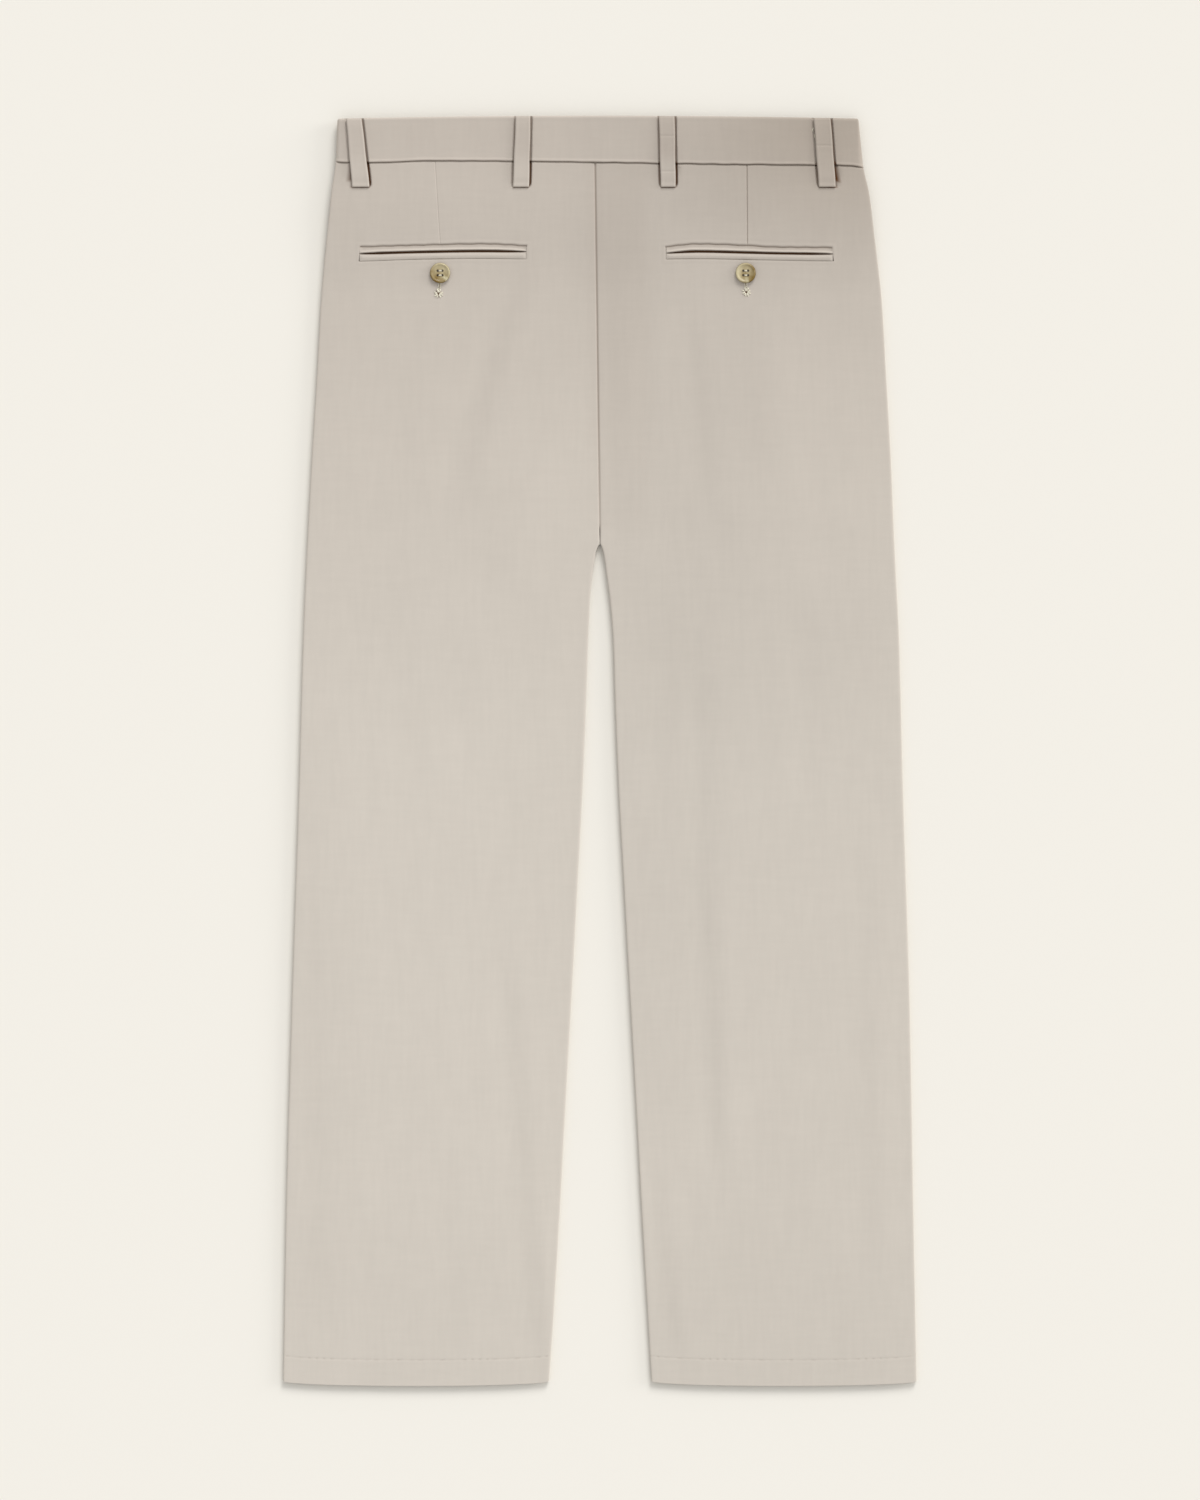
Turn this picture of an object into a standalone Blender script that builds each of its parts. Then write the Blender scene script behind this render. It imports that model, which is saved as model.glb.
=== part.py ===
"""Chino trousers laid flat on a surface, back up and waist towards +Y.

+X is the wearer's right, +Z is up, and z = 0 is the surface that the front lies on.
Every size below is in millimetres. "down" is the distance below the top of the waistband
at the centre back, and "side" is -1 for the wearer's left leg and +1 for the right one.

The cloth is a wall. Each leg is a flattened tube: a back panel lies over a front panel,
and both roll into a fold at the side seam and at the inseam, where their edges meet.
"""

import math

import bmesh
import bpy
import numpy as np

# ---------------------------------------------------------------- driving sizes, mm
LENGTH = 1060.0  # top of the waistband to the lowest point of a hem
CLOTH = 1.2  # wall of a panel
SEAM_GAP = 0.3  # between pieces that are sewn together
FOLD_REACH = 2.2  # how far in from a side fold or inseam the cloth is rolled
FOLD_FULLNESS = 0.22  # 1 is an ellipse, and less is a squarer, pressed fold
SEAT_SEAM_TOP_X = -2.9  # the centre back seam leans a little
CROTCH_X = 1.25
CROTCH_DOWN = 357.0
CROTCH_ROLL = 18.0  # over this length above the crotch the seat seam sinks between the legs
SEAT_SEAM_DIP, SEAT_SEAM_REACH = 0.2, 4.0

BAND_HEIGHT = 38.4
BAND_WALL = 1.8
BAND_TOP_DROP = 2.4  # top edge, at the sides against the centre back
BAND_UNDER_Z, BAND_TOP_Z = 2.6, 8.6  # outsides of its front and its back
FRONT_DROP = 9.0  # the front of the waist lies this much lower than the back
TAB_REACH = 33.0  # the left end of the waistband passes under the right end by this
TAB_RAMP = 24.0  # the right end climbs over the left one in this length
BAND_END_X = 4.0

PANEL_LIFT = 3.0  # underside of the front panels at the waist seam
LIFT_FROM, LIFT_TO = 62.0, 150.0  # the front panels come down to the surface here
CROWN = 0.45  # the middle of a leg lies this much higher than its folds
HEM_BOW = 4.0  # a hem's middle hangs lower than its corners
HEM_FULLNESS = 0.5  # 1 is a parabola, and less is a flatter middle
HEM_CORNER_DOWN = LENGTH - HEM_BOW
HEM_DEPTH, HEM_WALL = 21.5, 1.9  # the turned-up hem is two cloths thick

POCKET_FROM_SEAM = 127.5  # centre of a back pocket from the seat seam
POCKET_WIDTH, POCKET_DOWN = 139.2, 107.6
UPPER_WELT, SLIT, LOWER_WELT = 4.5, 1.9, 5.6
POCKET_HEIGHT = UPPER_WELT + SLIT + LOWER_WELT
WELT_WALL = 1.5
POCKET_PULL = 18.0  # the cloth follows a pocket's lines over this distance

BUTTON_RADIUS, BUTTON_THICK = 8.5, 2.3
BUTTON_DOWN = 131.0
BUTTON_SHIFT = -3.0  # along X from the middle of its pocket
WAIST_BUTTON_X = 19.0

SLANT_FROM_SIDE = 45.0  # where a hand pocket's mouth meets the waist seam
SLANT_END_DOWN = 186.0
SLANT_END_FROM_SIDE = 4.4

LOOP_WIDTH, LOOP_THICK, LOOP_END_DOWN = 13.4, 1.4, 59.0
LOOP_STAND = 1.2  # a belt loop's middle stands this far off the waistband

LEFT, RIGHT = -1, 1
SIDE_NAMES = {LEFT: "left", RIGHT: "right"}
BACK, FRONT = 1, -1  # which way a panel's outside faces, along Z

# Half widths of the laid trousers at the side folds: down, left, right.
SIDE_FOLDS = (
    (0, 218.0, 217.1),
    (38, 219.3, 221.1),
    (61, 222.6, 225.7),
    (86, 225.3, 228.7),
    (119, 228.8, 232.8),
    (153, 231.6, 236.4),
    (220, 235.4, 240.3),
    (286, 239.4, 244.0),
    (357, 243.2, 247.0),
    (437, 246.6, 250.9),
    (570, 250.4, 254.4),
    (737, 255.9, 259.7),
    (904, 260.6, 262.7),
    (1056, 263.3, 265.6),
)
# Inner edges of the legs below the crotch: down, x of the left, x of the right.
INSEAMS = (
    (357, 1.1, 1.4),
    (361, -1.5, 3.4),
    (370, -3.2, 5.1),
    (385, -5.5, 7.1),
    (404, -7.3, 9.6),
    (437, -8.8, 12.3),
    (487, -10.5, 13.9),
    (554, -13.2, 16.5),
    (654, -18.4, 21.9),
    (738, -22.8, 26.5),
    (821, -27.5, 31.2),
    (905, -32.0, 35.6),
    (988, -36.9, 40.4),
    (1056, -41.5, 44.4),
)
# Air between the two layers: down, height.
AIR = ((38, 2.6), (90, 2.9), (400, 2.9), (800, 2.6), (1056, 2.0))

# The waist seam across the back: x, down.
WAIST_SEAM = (
    (-221, 38.2),
    (-192, 38.0),
    (-134, 37.0),
    (-72, 37.3),
    (8, 38.3),
    (51, 39.1),
    (124, 40.0),
    (182, 40.5),
    (221, 41.6),
)
# The lines of a back pocket: x, then the down of its top edge, slit and bottom edge.
POCKET_LINES = {
    LEFT: (
        (-199, 109.0, 114.8, 121.3),
        (-146, 107.5, 113.3, 119.6),
        (-96, 106.5, 112.6, 119.0),
        (-59, 108.2, 113.0, 119.3),
    ),
    RIGHT: (
        (56, 109.0, 114.4, 119.5),
        (82, 106.6, 112.9, 119.2),
        (124, 107.9, 113.8, 119.9),
        (147, 109.2, 114.4, 120.4),
        (196, 109.7, 115.0, 121.0),
    ),
}

# Soft folds of the upper layer. The cloth rises across each line, from its left to its
# right, or from below it: x and down of one end, x and down of the other, half width,
# height.
CREASES = (
    (-65, 148, -75, 180, 18, 1.20),
    (-87, 212, -107, 280, 17, 2.00),
    (-150, 170, -163, 262, 20, 0.30),
    (14, 150, 15, 303, 15, 0.45),
    (45, 170, 47, 245, 14, 0.40),
    (82, 190, 91, 290, 12, 0.75),
    (131, 190, 134, 268, 12, 0.40),
    (168, 196, 172, 330, 26, -0.40),
    (60, 336, 230, 345, 26, 0.30),
    (-190, 322, -60, 318, 22, 0.25),
    (-196, 330, -190, 400, 16, 0.25),
    (88, 470, 92, 600, 13, 0.65),
    (93, 665, 101, 845, 14, 1.25),
    (62, 440, 60, 560, 16, 0.40),
    (142, 437, 147, 571, 12, 0.35),
    (181, 445, 184, 579, 17, 0.40),
    (226, 650, 229, 930, 14, 0.60),
    (52, 900, 64, 1008, 12, 0.75),
    (-70, 740, -50, 1008, 14, 1.00),
    (-160, 425, -150, 540, 16, 0.35),
    (-108, 480, -106, 540, 12, 0.30),
    (-236, 720, -233, 940, 16, 0.55),
    (-124, 905, -119, 1000, 12, 0.30),
)

# Belt loops at the back: x at the top and at the lower end, width at the top and there.
BACK_LOOPS = (
    (-204.2, -198.3, 12.4, 14.2),
    (-62.9, -64.7, 12.0, 13.1),
    (56.9, 58.1, 12.8, 12.1),
    (186.3, 190.8, 13.8, 13.8),
)
# Belt loops in front: x of each.
FRONT_LOOPS = (-96.0, 96.0)

# Rows of the panels, as down.
CROTCH_ROWS = (334, 343, 350, CROTCH_DOWN, 361, 368, 380, 398)
LEG_ROWS = (420, 446, 487, 540, 600, 667, 738, 821, 905, 988,
            HEM_CORNER_DOWN - HEM_DEPTH - 5, HEM_CORNER_DOWN - HEM_DEPTH, HEM_CORNER_DOWN)
BACK_ROWS = (BAND_HEIGHT, 50, 68, 88, POCKET_DOWN, POCKET_DOWN + POCKET_HEIGHT, 135, 158,
             186, 216, 248, 280, 310) + CROTCH_ROWS + LEG_ROWS
FRONT_ROWS = (BAND_HEIGHT, 62, 84, 106, 128, 154, SLANT_END_DOWN - 4, SLANT_END_DOWN, 230,
              286) + CROTCH_ROWS + LEG_ROWS
ROLL_ANGLES = (0, 30, 60, 90)  # degrees round a fold, from its seam to the flat cloth


# ---------------------------------------------------------------- smooth helpers
def eased(t):
    t = min(1.0, max(0.0, t))
    return t * t * (3 - 2 * t)


def smooth_column(rows, column):
    """A smooth function of a table's first column that never overshoots its rows."""
    xs = [row[0] for row in rows]
    ys = [row[column] for row in rows]
    steps = [(ys[i + 1] - ys[i]) / (xs[i + 1] - xs[i]) for i in range(len(xs) - 1)]
    slopes = [steps[0]]
    for before, after in zip(steps, steps[1:]):
        same_way = before * after > 0
        slopes.append(2 * before * after / (before + after) if same_way else 0.0)
    slopes.append(steps[-1])

    def value(x):
        x = min(max(x, xs[0]), xs[-1])
        i = max(0, min(sum(start <= x for start in xs) - 1, len(xs) - 2))
        width = xs[i + 1] - xs[i]
        t = (x - xs[i]) / width
        return (
            ys[i] * (1 + 2 * t) * (1 - t) ** 2
            + ys[i + 1] * t * t * (3 - 2 * t)
            + slopes[i] * width * t * (1 - t) ** 2
            - slopes[i + 1] * width * t * t * (1 - t)
        )

    return value


SIDE_WIDTH = {LEFT: smooth_column(SIDE_FOLDS, 1), RIGHT: smooth_column(SIDE_FOLDS, 2)}
INSEAM_X = {LEFT: smooth_column(INSEAMS, 1), RIGHT: smooth_column(INSEAMS, 2)}
AIR_AT = smooth_column(AIR, 1)
BACK_WAIST = smooth_column(WAIST_SEAM, 1)
POCKET_TOP, POCKET_SLIT, POCKET_BOTTOM = (
    {side: smooth_column(POCKET_LINES[side], column) for side in (LEFT, RIGHT)}
    for column in (1, 2, 3)
)


# ---------------------------------------------------------------- plan of the garment
def seat_seam_x(down):
    t = (down - BAND_HEIGHT) / (CROTCH_DOWN - BAND_HEIGHT)
    return SEAT_SEAM_TOP_X + (CROTCH_X - SEAT_SEAM_TOP_X) * min(1.0, max(0.0, t))


def inner_x(side, down):
    """Where a leg's inner edge is: the seat seam, or the inseam below the crotch."""
    if down < CROTCH_DOWN:
        return seat_seam_x(down) + side * SEAM_GAP / 2
    return INSEAM_X[side](down)


def outer_x(side, down):
    return side * SIDE_WIDTH[side](down)


def frontness(x):
    """0 at the side folds and 1 at the centre front, for what dips at the front."""
    return 0.5 + 0.5 * math.cos(math.pi * min(1.0, abs(x) / SIDE_WIDTH[LEFT](0)))


def waist_seam_down(facing, x):
    dip = FRONT_DROP * frontness(x) if facing == FRONT else 0.0
    return BACK_WAIST(x) + dip


def hem_bow(facing, side, x, down):
    """How much lower a hem lies at x than at its corners."""
    inner, outer = inner_x(side, down), outer_x(side, down)
    t = (x - inner) / (outer - inner)
    bow = HEM_BOW if facing == BACK else HEM_BOW / 2
    return bow * max(0.0, 4 * t * (1 - t)) ** HEM_FULLNESS


def pocket_shift(side, x, down):
    """How the rows of a back panel bend to follow its pocket."""
    t = min(1.0, max(0.0, (down - POCKET_DOWN) / POCKET_HEIGHT))
    at_top = POCKET_TOP[side](x) - POCKET_DOWN
    at_bottom = POCKET_BOTTOM[side](x) - POCKET_DOWN - POCKET_HEIGHT
    away = max(0.0, POCKET_DOWN - down, down - POCKET_DOWN - POCKET_HEIGHT)
    return ((1 - t) * at_top + t * at_bottom) * math.exp(-((away / POCKET_PULL) ** 2))


def row_shift(facing, side, x, down):
    """How much lower than its nominal down a row of a panel lies at x."""
    waist_reach = 50 if facing == BACK else 90
    at_waist = 1 - eased((down - BAND_HEIGHT) / waist_reach)
    at_hem = eased((down - 900) / 130)
    shift = at_waist * (waist_seam_down(facing, x) + SEAM_GAP - BAND_HEIGHT)
    shift += at_hem * hem_bow(facing, side, x, down)
    if facing == BACK:
        shift += pocket_shift(side, x, down)
    return shift


# ---------------------------------------------------------------- heights of the cloth
def inner_roll(down):
    """0 where the inner edge is flat at the seat seam, and 1 where it is rolled."""
    return eased((down - CROTCH_DOWN + CROTCH_ROLL) / CROTCH_ROLL)


def under_z(down):
    """Outside of the front panels away from the folds."""
    return PANEL_LIFT * (1 - eased((down - LIFT_FROM) / (LIFT_TO - LIFT_FROM)))


def creases_z(x, down):
    total = 0.0
    for x0, down0, x1, down1, half_width, height in CREASES:
        length = math.hypot(x1 - x0, down1 - down0)
        along_x, along_down = (x1 - x0) / length, (down1 - down0) / length
        along = (x - x0) * along_x + (down - down0) * along_down
        across = ((x - x0) * along_down - (down - down0) * along_x) / half_width
        past_end = max(0.0, -along, along - length) / (2.2 * half_width)
        total += height * across * math.exp(-across**2 - past_end**2)
    return total


def over_z(side, x, down):
    """Outside of the back panels away from the folds."""
    inner, outer = inner_x(side, down), outer_x(side, down)
    from_inner, from_outer = abs(x - inner), abs(x - outer)
    middle = 4 * from_inner * from_outer / (outer - inner) ** 2
    below_waist = eased((down - BAND_HEIGHT) / 60)
    fade = eased(from_outer / 16) * eased(from_inner / 10) * below_waist
    level = under_z(down) + 2 * CLOTH + AIR_AT(down)
    return level + CROWN * middle * below_waist + creases_z(x, down) * fade


def seam_z(side, down, edge_x):
    """Mid-height of a fold, where the back and front panels meet."""
    return (under_z(down) + over_z(side, edge_x, down)) / 2


# ---------------------------------------------------------------- panel surfaces
# A column of a panel is ("in" or "out", degrees) round the fold at its inner or outer
# edge, or ("flat", share of the way between the two folds).
def panel_columns(shares):
    inner = [("in", angle) for angle in ROLL_ANGLES[:-1]]
    outer = [("out", angle) for angle in reversed(ROLL_ANGLES[:-1])]
    return inner + [("flat", share) for share in shares] + outer


def panel_x(side, column, down):
    kind, amount = column
    inner, outer = inner_x(side, down), outer_x(side, down)
    if kind == "flat":
        start, end = inner + side * FOLD_REACH, outer - side * FOLD_REACH
        return start + amount * (end - start)
    rolled = 1 - math.cos(math.radians(amount))
    if kind == "out":
        return outer - side * FOLD_REACH * rolled
    roll = inner_roll(down)
    return inner + side * FOLD_REACH * (roll * rolled + (1 - roll) * amount / 90)


def panel_point(facing, side, column, down):
    """A point of a panel's outside, and the direction out of the cloth there."""
    kind, amount = column
    x = panel_x(side, column, down)
    surface = under_z(down)
    if facing == BACK:
        inner_roll_left = 1 - inner_roll(down)
        from_seam = (x - inner_x(side, down)) / SEAT_SEAM_REACH
        surface = over_z(side, x, down) - SEAT_SEAM_DIP * inner_roll_left * math.exp(-from_seam**2)
    y = LENGTH / 2 - down - row_shift(facing, side, x, down)
    if kind == "flat":
        return np.array([x, y, surface]), np.array([0.0, 0.0, facing])
    turn = math.radians(amount)
    edge = inner_x(side, down) if kind == "in" else outer_x(side, down)
    away = -side if kind == "in" else side
    roll = inner_roll(down) if kind == "in" else 1.0
    at_seam = seam_z(side, down, edge) + facing * SEAM_GAP / 2
    z = surface + (at_seam - surface) * roll * (1 - math.sin(turn) ** FOLD_FULLNESS)
    out = np.array([away * roll * math.cos(turn), 0.0,
                    facing * (1 - roll + roll * math.sin(turn))])
    return np.array([x, y, z]), out / np.linalg.norm(out)


def on_back(side, share, down, lift):
    """A point that lies on a back panel, moved out by lift."""
    place, out = panel_point(BACK, side, ("flat", share), down)
    return place + out * lift


def panel_grid(facing, side, columns, rows):
    """Outer and inner points of a panel, a row for each down."""
    outer, inner = [], []
    for down in rows:
        points = [panel_point(facing, side, column, down) for column in columns]
        in_hem = down >= HEM_CORNER_DOWN - HEM_DEPTH
        wall = HEM_WALL if in_hem else CLOTH
        outer.append([place for place, out in points])
        inner.append([place - out * wall for place, out in points])
    return np.array(outer), np.array(inner)


# ---------------------------------------------------------------- making solids
def add_material(obj, name, colour, roughness):
    material = bpy.data.materials.get(name) or bpy.data.materials.new(name)
    material.use_nodes = True
    shader = material.node_tree.nodes["Principled BSDF"]
    shader.inputs["Base Color"].default_value = (*colour, 1.0)
    shader.inputs["Roughness"].default_value = roughness
    shader.inputs["Metallic"].default_value = 0.0
    obj.data.materials.append(material)


def add_object(name, work, parent):
    """Turns a bmesh, in metres, into a named object with its faces pointing out."""
    bmesh.ops.recalc_face_normals(work, faces=work.faces)
    if work.calc_volume(signed=True) < 0:
        bmesh.ops.reverse_faces(work, faces=work.faces)
    mesh = bpy.data.meshes.new(name)
    work.to_mesh(mesh)
    work.free()
    mesh.shade_smooth()
    mesh.set_sharp_from_angle(angle=math.radians(40))
    obj = bpy.data.objects.new(name, mesh)
    bpy.context.scene.collection.objects.link(obj)
    obj.parent = parent
    return obj


def rim(first_row, last_row, first_column, last_column):
    """Grid places round a rectangle of quads, once each."""
    top = [(first_row, c) for c in range(first_column, last_column)]
    right = [(r, last_column) for r in range(first_row, last_row)]
    bottom = [(last_row, c) for c in range(last_column, first_column, -1)]
    left = [(r, first_column) for r in range(last_row, first_row, -1)]
    return top + right + bottom + left


def add_cloth(name, outer, inner, parent, hole=None):
    """A closed wall between two grids of points.

    hole is (first row, last row, first column, last column) of an opening through it.
    """
    rows, columns = outer.shape[:2]
    work = bmesh.new()
    layers = [
        [[work.verts.new(point * 0.001) for point in row] for row in grid]
        for grid in (outer, inner)
    ]
    for row in range(rows - 1):
        for column in range(columns - 1):
            if hole and hole[0] <= row < hole[1] and hole[2] <= column < hole[3]:
                continue
            for layer in layers:
                work.faces.new((layer[row][column], layer[row][column + 1],
                                layer[row + 1][column + 1], layer[row + 1][column]))
    rims = [rim(0, rows - 1, 0, columns - 1)]
    if hole:
        rims.append(rim(*hole))
    for places in rims:
        for (r0, c0), (r1, c1) in zip(places, places[1:] + places[:1]):
            work.faces.new((layers[0][r0][c0], layers[0][r1][c1],
                            layers[1][r1][c1], layers[1][r0][c0]))
    loose = [vert for vert in work.verts if not vert.link_faces]
    bmesh.ops.delete(work, geom=loose, context="VERTS")
    cloth = add_object(name, work, parent)
    add_material(cloth, "chino_twill", (0.59, 0.53, 0.47), 0.9)
    return cloth


# ---------------------------------------------------------------- back panels and welts
def back_share(side, from_seam):
    """The share of a flat column that is this far from the seat seam at the pocket."""
    width = abs(outer_x(side, POCKET_DOWN) - inner_x(side, POCKET_DOWN))
    return (from_seam - FOLD_REACH) / (width - 2 * FOLD_REACH)


def make_back_panel(side, parent):
    pocket_steps = 10
    step = POCKET_WIDTH / pocket_steps
    near = POCKET_FROM_SEAM - POCKET_WIDTH / 2
    before = [FOLD_REACH, near - 3 * step, near - 2 * step, near - step]
    beside = [near + step * i for i in range(pocket_steps + 1)]
    shares = [back_share(side, distance) for distance in before + beside]
    after = [(shares[-1] + 1) / 2, 1.0]
    columns = panel_columns(shares + after)
    outer, inner = panel_grid(BACK, side, columns, BACK_ROWS)
    first_column = columns.index(("flat", shares[len(before)]))
    first_row = BACK_ROWS.index(POCKET_DOWN)
    hole = (first_row, first_row + 1, first_column, first_column + pocket_steps)
    add_cloth(f"back_panel_{SIDE_NAMES[side]}", outer, inner, parent, hole)


def make_welt(side, name, edges, profile, parent):
    """One folded strip of a double-welt pocket.

    edges(t, x) gives its first and last down at t, 0 to 1 along the pocket, and profile
    lists (share across the strip, height over the panel) from the first edge to the last.
    """
    end_gap, steps = 0.4, 10
    near = back_share(side, POCKET_FROM_SEAM - POCKET_WIDTH / 2 + end_gap)
    far = back_share(side, POCKET_FROM_SEAM + POCKET_WIDTH / 2 - end_gap)
    outer, inner = [], []
    for across, height in profile:
        outer_row, inner_row = [], []
        for i in range(steps + 1):
            share = near + (far - near) * i / steps
            first, last = edges(i / steps, panel_x(side, ("flat", share), POCKET_DOWN))
            down = first + (last - first) * across
            outer_row.append(on_back(side, share, down, height))
            inner_row.append(on_back(side, share, down, -WELT_WALL))
        outer.append(outer_row)
        inner.append(inner_row)
    add_cloth(f"{name}_welt_{SIDE_NAMES[side]}", np.array(outer), np.array(inner), parent)


def make_pocket(side, parent):
    top, bottom = POCKET_DOWN + SEAM_GAP, POCKET_DOWN + POCKET_HEIGHT - SEAM_GAP
    middle = POCKET_DOWN + POCKET_HEIGHT / 2
    least = SEAM_GAP / 2

    def slit(x):
        return POCKET_SLIT[side](x) - pocket_shift(side, x, middle)

    def half_slit(t):
        """Half the width of the slit, which is widest in the middle."""
        return least + (SLIT / 2 - least) * min(1.0, 9 * t * (1 - t)) ** 0.6

    make_welt(side, "upper", lambda t, x: (top, slit(x) - half_slit(t)),
              ((0, 0.0), (0.2, 0.3), (0.7, 0.5), (1, 0.1)), parent)
    make_welt(side, "lower", lambda t, x: (slit(x) + half_slit(t), bottom),
              ((0, 0.1), (0.3, 0.45), (0.8, 0.3), (1, 0.0)), parent)


# ---------------------------------------------------------------- buttons
def add_thread_holes(button):
    hole_radius, hole_place, count = 0.00095, 0.0024, 4
    for i in range(count):
        turn = math.pi / 4 + i * 2 * math.pi / count
        bpy.ops.mesh.primitive_cylinder_add(vertices=8, radius=hole_radius, depth=0.02)
        cutter = bpy.context.object
        cutter.name = f"{button.name}_hole_{i}"
        cutter.location = button.location
        cutter.location.x += hole_place * math.cos(turn)
        cutter.location.y += hole_place * math.sin(turn)
        cutter.hide_render = True
        cutter.display_type = "WIRE"
        cut = button.modifiers.new(f"hole_{i}", "BOOLEAN")
        cut.operation = "DIFFERENCE"
        cut.object = cutter


def make_button(name, x, down, base_z, facing, parent):
    """A four-hole button with a raised rim, turned about its own axis.

    base_z is the height of its back, and facing says which way its front points.
    """
    segments = 20
    profile = ((0, 0), (6.8, 0), (BUTTON_RADIUS, 0.9), (8.3, 1.9), (7.2, BUTTON_THICK),
               (5.6, 1.6), (0, 1.5))
    work = bmesh.new()
    rings = []
    for radius, height in profile:
        count = segments if radius else 1
        angles = [2 * math.pi * i / segments for i in range(count)]
        rings.append([work.verts.new((radius * 0.001 * math.cos(a), radius * 0.001 * math.sin(a),
                                      height * 0.001 * facing)) for a in angles])
    for first, second in zip(rings, rings[1:]):
        for i in range(segments):
            j = (i + 1) % segments
            corners = [first[i % len(first)], first[j % len(first)],
                       second[j % len(second)], second[i % len(second)]]
            work.faces.new(list(dict.fromkeys(corners)))
    button = add_object(name, work, parent)
    add_material(button, "horn", (0.42, 0.34, 0.17), 0.35)
    button.location = (x * 0.001, (LENGTH / 2 - down) * 0.001, base_z * 0.001)
    add_thread_holes(button)


def make_pocket_button(side, parent):
    """Stands just clear of the highest cloth that it covers."""
    x = seat_seam_x(BUTTON_DOWN) + side * POCKET_FROM_SEAM + BUTTON_SHIFT
    under_it = [over_z(side, x + dx, BUTTON_DOWN + dy)
                for dx in (-BUTTON_RADIUS, 0, BUTTON_RADIUS) for dy in (-BUTTON_RADIUS, 0)]
    name = f"pocket_button_{SIDE_NAMES[side]}"
    make_button(name, x, BUTTON_DOWN, max(under_it) + SEAM_GAP, BACK, parent)


# ---------------------------------------------------------------- fronts and hand pockets
def mouth_x(side, down):
    """The slanted mouth of a hand pocket."""
    t = (down - BAND_HEIGHT) / (SLANT_END_DOWN - BAND_HEIGHT)
    from_side = SLANT_FROM_SIDE + (SLANT_END_FROM_SIDE - SLANT_FROM_SIDE) * t
    return outer_x(side, down) - side * from_side


def flat_front_points(side, down, start_x, end_x, count):
    """Outer and inner points across the flat underside of a front."""
    outer, inner = [], []
    for i in range(count):
        x = start_x + (end_x - start_x) * i / (count - 1)
        y = LENGTH / 2 - down - row_shift(FRONT, side, x, down)
        outer.append((x, y, under_z(down)))
        inner.append((x, y, under_z(down) + CLOTH))
    return outer, inner


def make_front_panel(side, parent):
    """A front panel, whose outer edge is the pocket's mouth near the waist."""
    flat_steps, roll_steps = 10, len(ROLL_ANGLES) - 1
    columns = panel_columns([i / flat_steps for i in range(flat_steps + 1)])
    outer, inner = panel_grid(FRONT, side, columns, FRONT_ROWS)
    for row, down in enumerate(FRONT_ROWS):
        if down >= SLANT_END_DOWN:
            break
        start = inner_x(side, down) + side * FOLD_REACH
        count = len(columns) - roll_steps
        outer[row, roll_steps:], inner[row, roll_steps:] = flat_front_points(
            side, down, start, mouth_x(side, down), count
        )
    add_cloth(f"front_panel_{SIDE_NAMES[side]}", outer, inner, parent)


def make_pocket_facing(side, parent):
    """The side piece behind a hand pocket's mouth, round to the side seam."""
    rows = [down for down in FRONT_ROWS if down < SLANT_END_DOWN]
    rows[-1] -= SEAM_GAP
    outer, inner = [], []
    for down in rows:
        fold_start = outer_x(side, down) - side * FOLD_REACH
        edge = mouth_x(side, down) + side * 1.3 * SEAM_GAP
        outer_row, inner_row = flat_front_points(side, down, edge, fold_start, 3)
        for angle in reversed(ROLL_ANGLES[:-1]):
            place, out = panel_point(FRONT, side, ("out", angle), down)
            outer_row.append(tuple(place))
            inner_row.append(tuple(place - out * CLOTH))
        outer.append(outer_row)
        inner.append(inner_row)
    add_cloth(f"pocket_facing_{SIDE_NAMES[side]}", np.array(outer), np.array(inner), parent)


# ---------------------------------------------------------------- waistband
def band_ring():
    """Places round the waistband's outside at half its height, from its left end.

    Each is (x, z, outward x, outward z).
    """
    radius = (BAND_TOP_Z - BAND_UNDER_Z) / 2
    middle = (BAND_TOP_Z + BAND_UNDER_Z) / 2
    left = outer_x(LEFT, BAND_HEIGHT / 2) + radius
    right = outer_x(RIGHT, BAND_HEIGHT / 2) - radius
    over_tab = BAND_UNDER_Z + BAND_WALL + SEAM_GAP
    front_steps, back_steps, turn_steps = 9, 22, 5
    turns = [math.pi * i / turn_steps for i in range(turn_steps + 1)]
    ring = [(TAB_REACH, BAND_UNDER_Z, 0, -1), (TAB_REACH / 2, BAND_UNDER_Z, 0, -1)]
    ring += [(left * i / front_steps, BAND_UNDER_Z, 0, -1) for i in range(front_steps)]
    ring += [(left - radius * math.sin(t), middle - radius * math.cos(t),
              -math.sin(t), -math.cos(t)) for t in turns]
    ring += [(left + (right - left) * i / back_steps, BAND_TOP_Z, 0, 1)
             for i in range(1, back_steps)]
    ring += [(right + radius * math.sin(t), middle + radius * math.cos(t),
              math.sin(t), math.cos(t)) for t in turns]
    ramp_end = TAB_REACH + 3.0
    ramp_start = ramp_end + TAB_RAMP
    ring += [(right + (ramp_start - right) * i / front_steps, BAND_UNDER_Z, 0, -1)
             for i in range(1, front_steps)]
    for share in (0, 0.25, 0.5, 0.75, 1):
        z = BAND_UNDER_Z + (over_tab - BAND_UNDER_Z) * eased(share)
        ring.append((ramp_start - TAB_RAMP * share, z, 0, -1))
    ring.append((BAND_END_X, over_tab, 0, -1))
    return ring


def band_down(x, share, front):
    """Down at a share of the band's height; front is 0 at the back and 1 in front."""
    top = BAND_TOP_DROP * (x / SIDE_WIDTH[LEFT](0)) ** 2
    seam = waist_seam_down(BACK, x)
    dip = FRONT_DROP * frontness(x) * front
    return top + (seam - top) * share + dip


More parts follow.
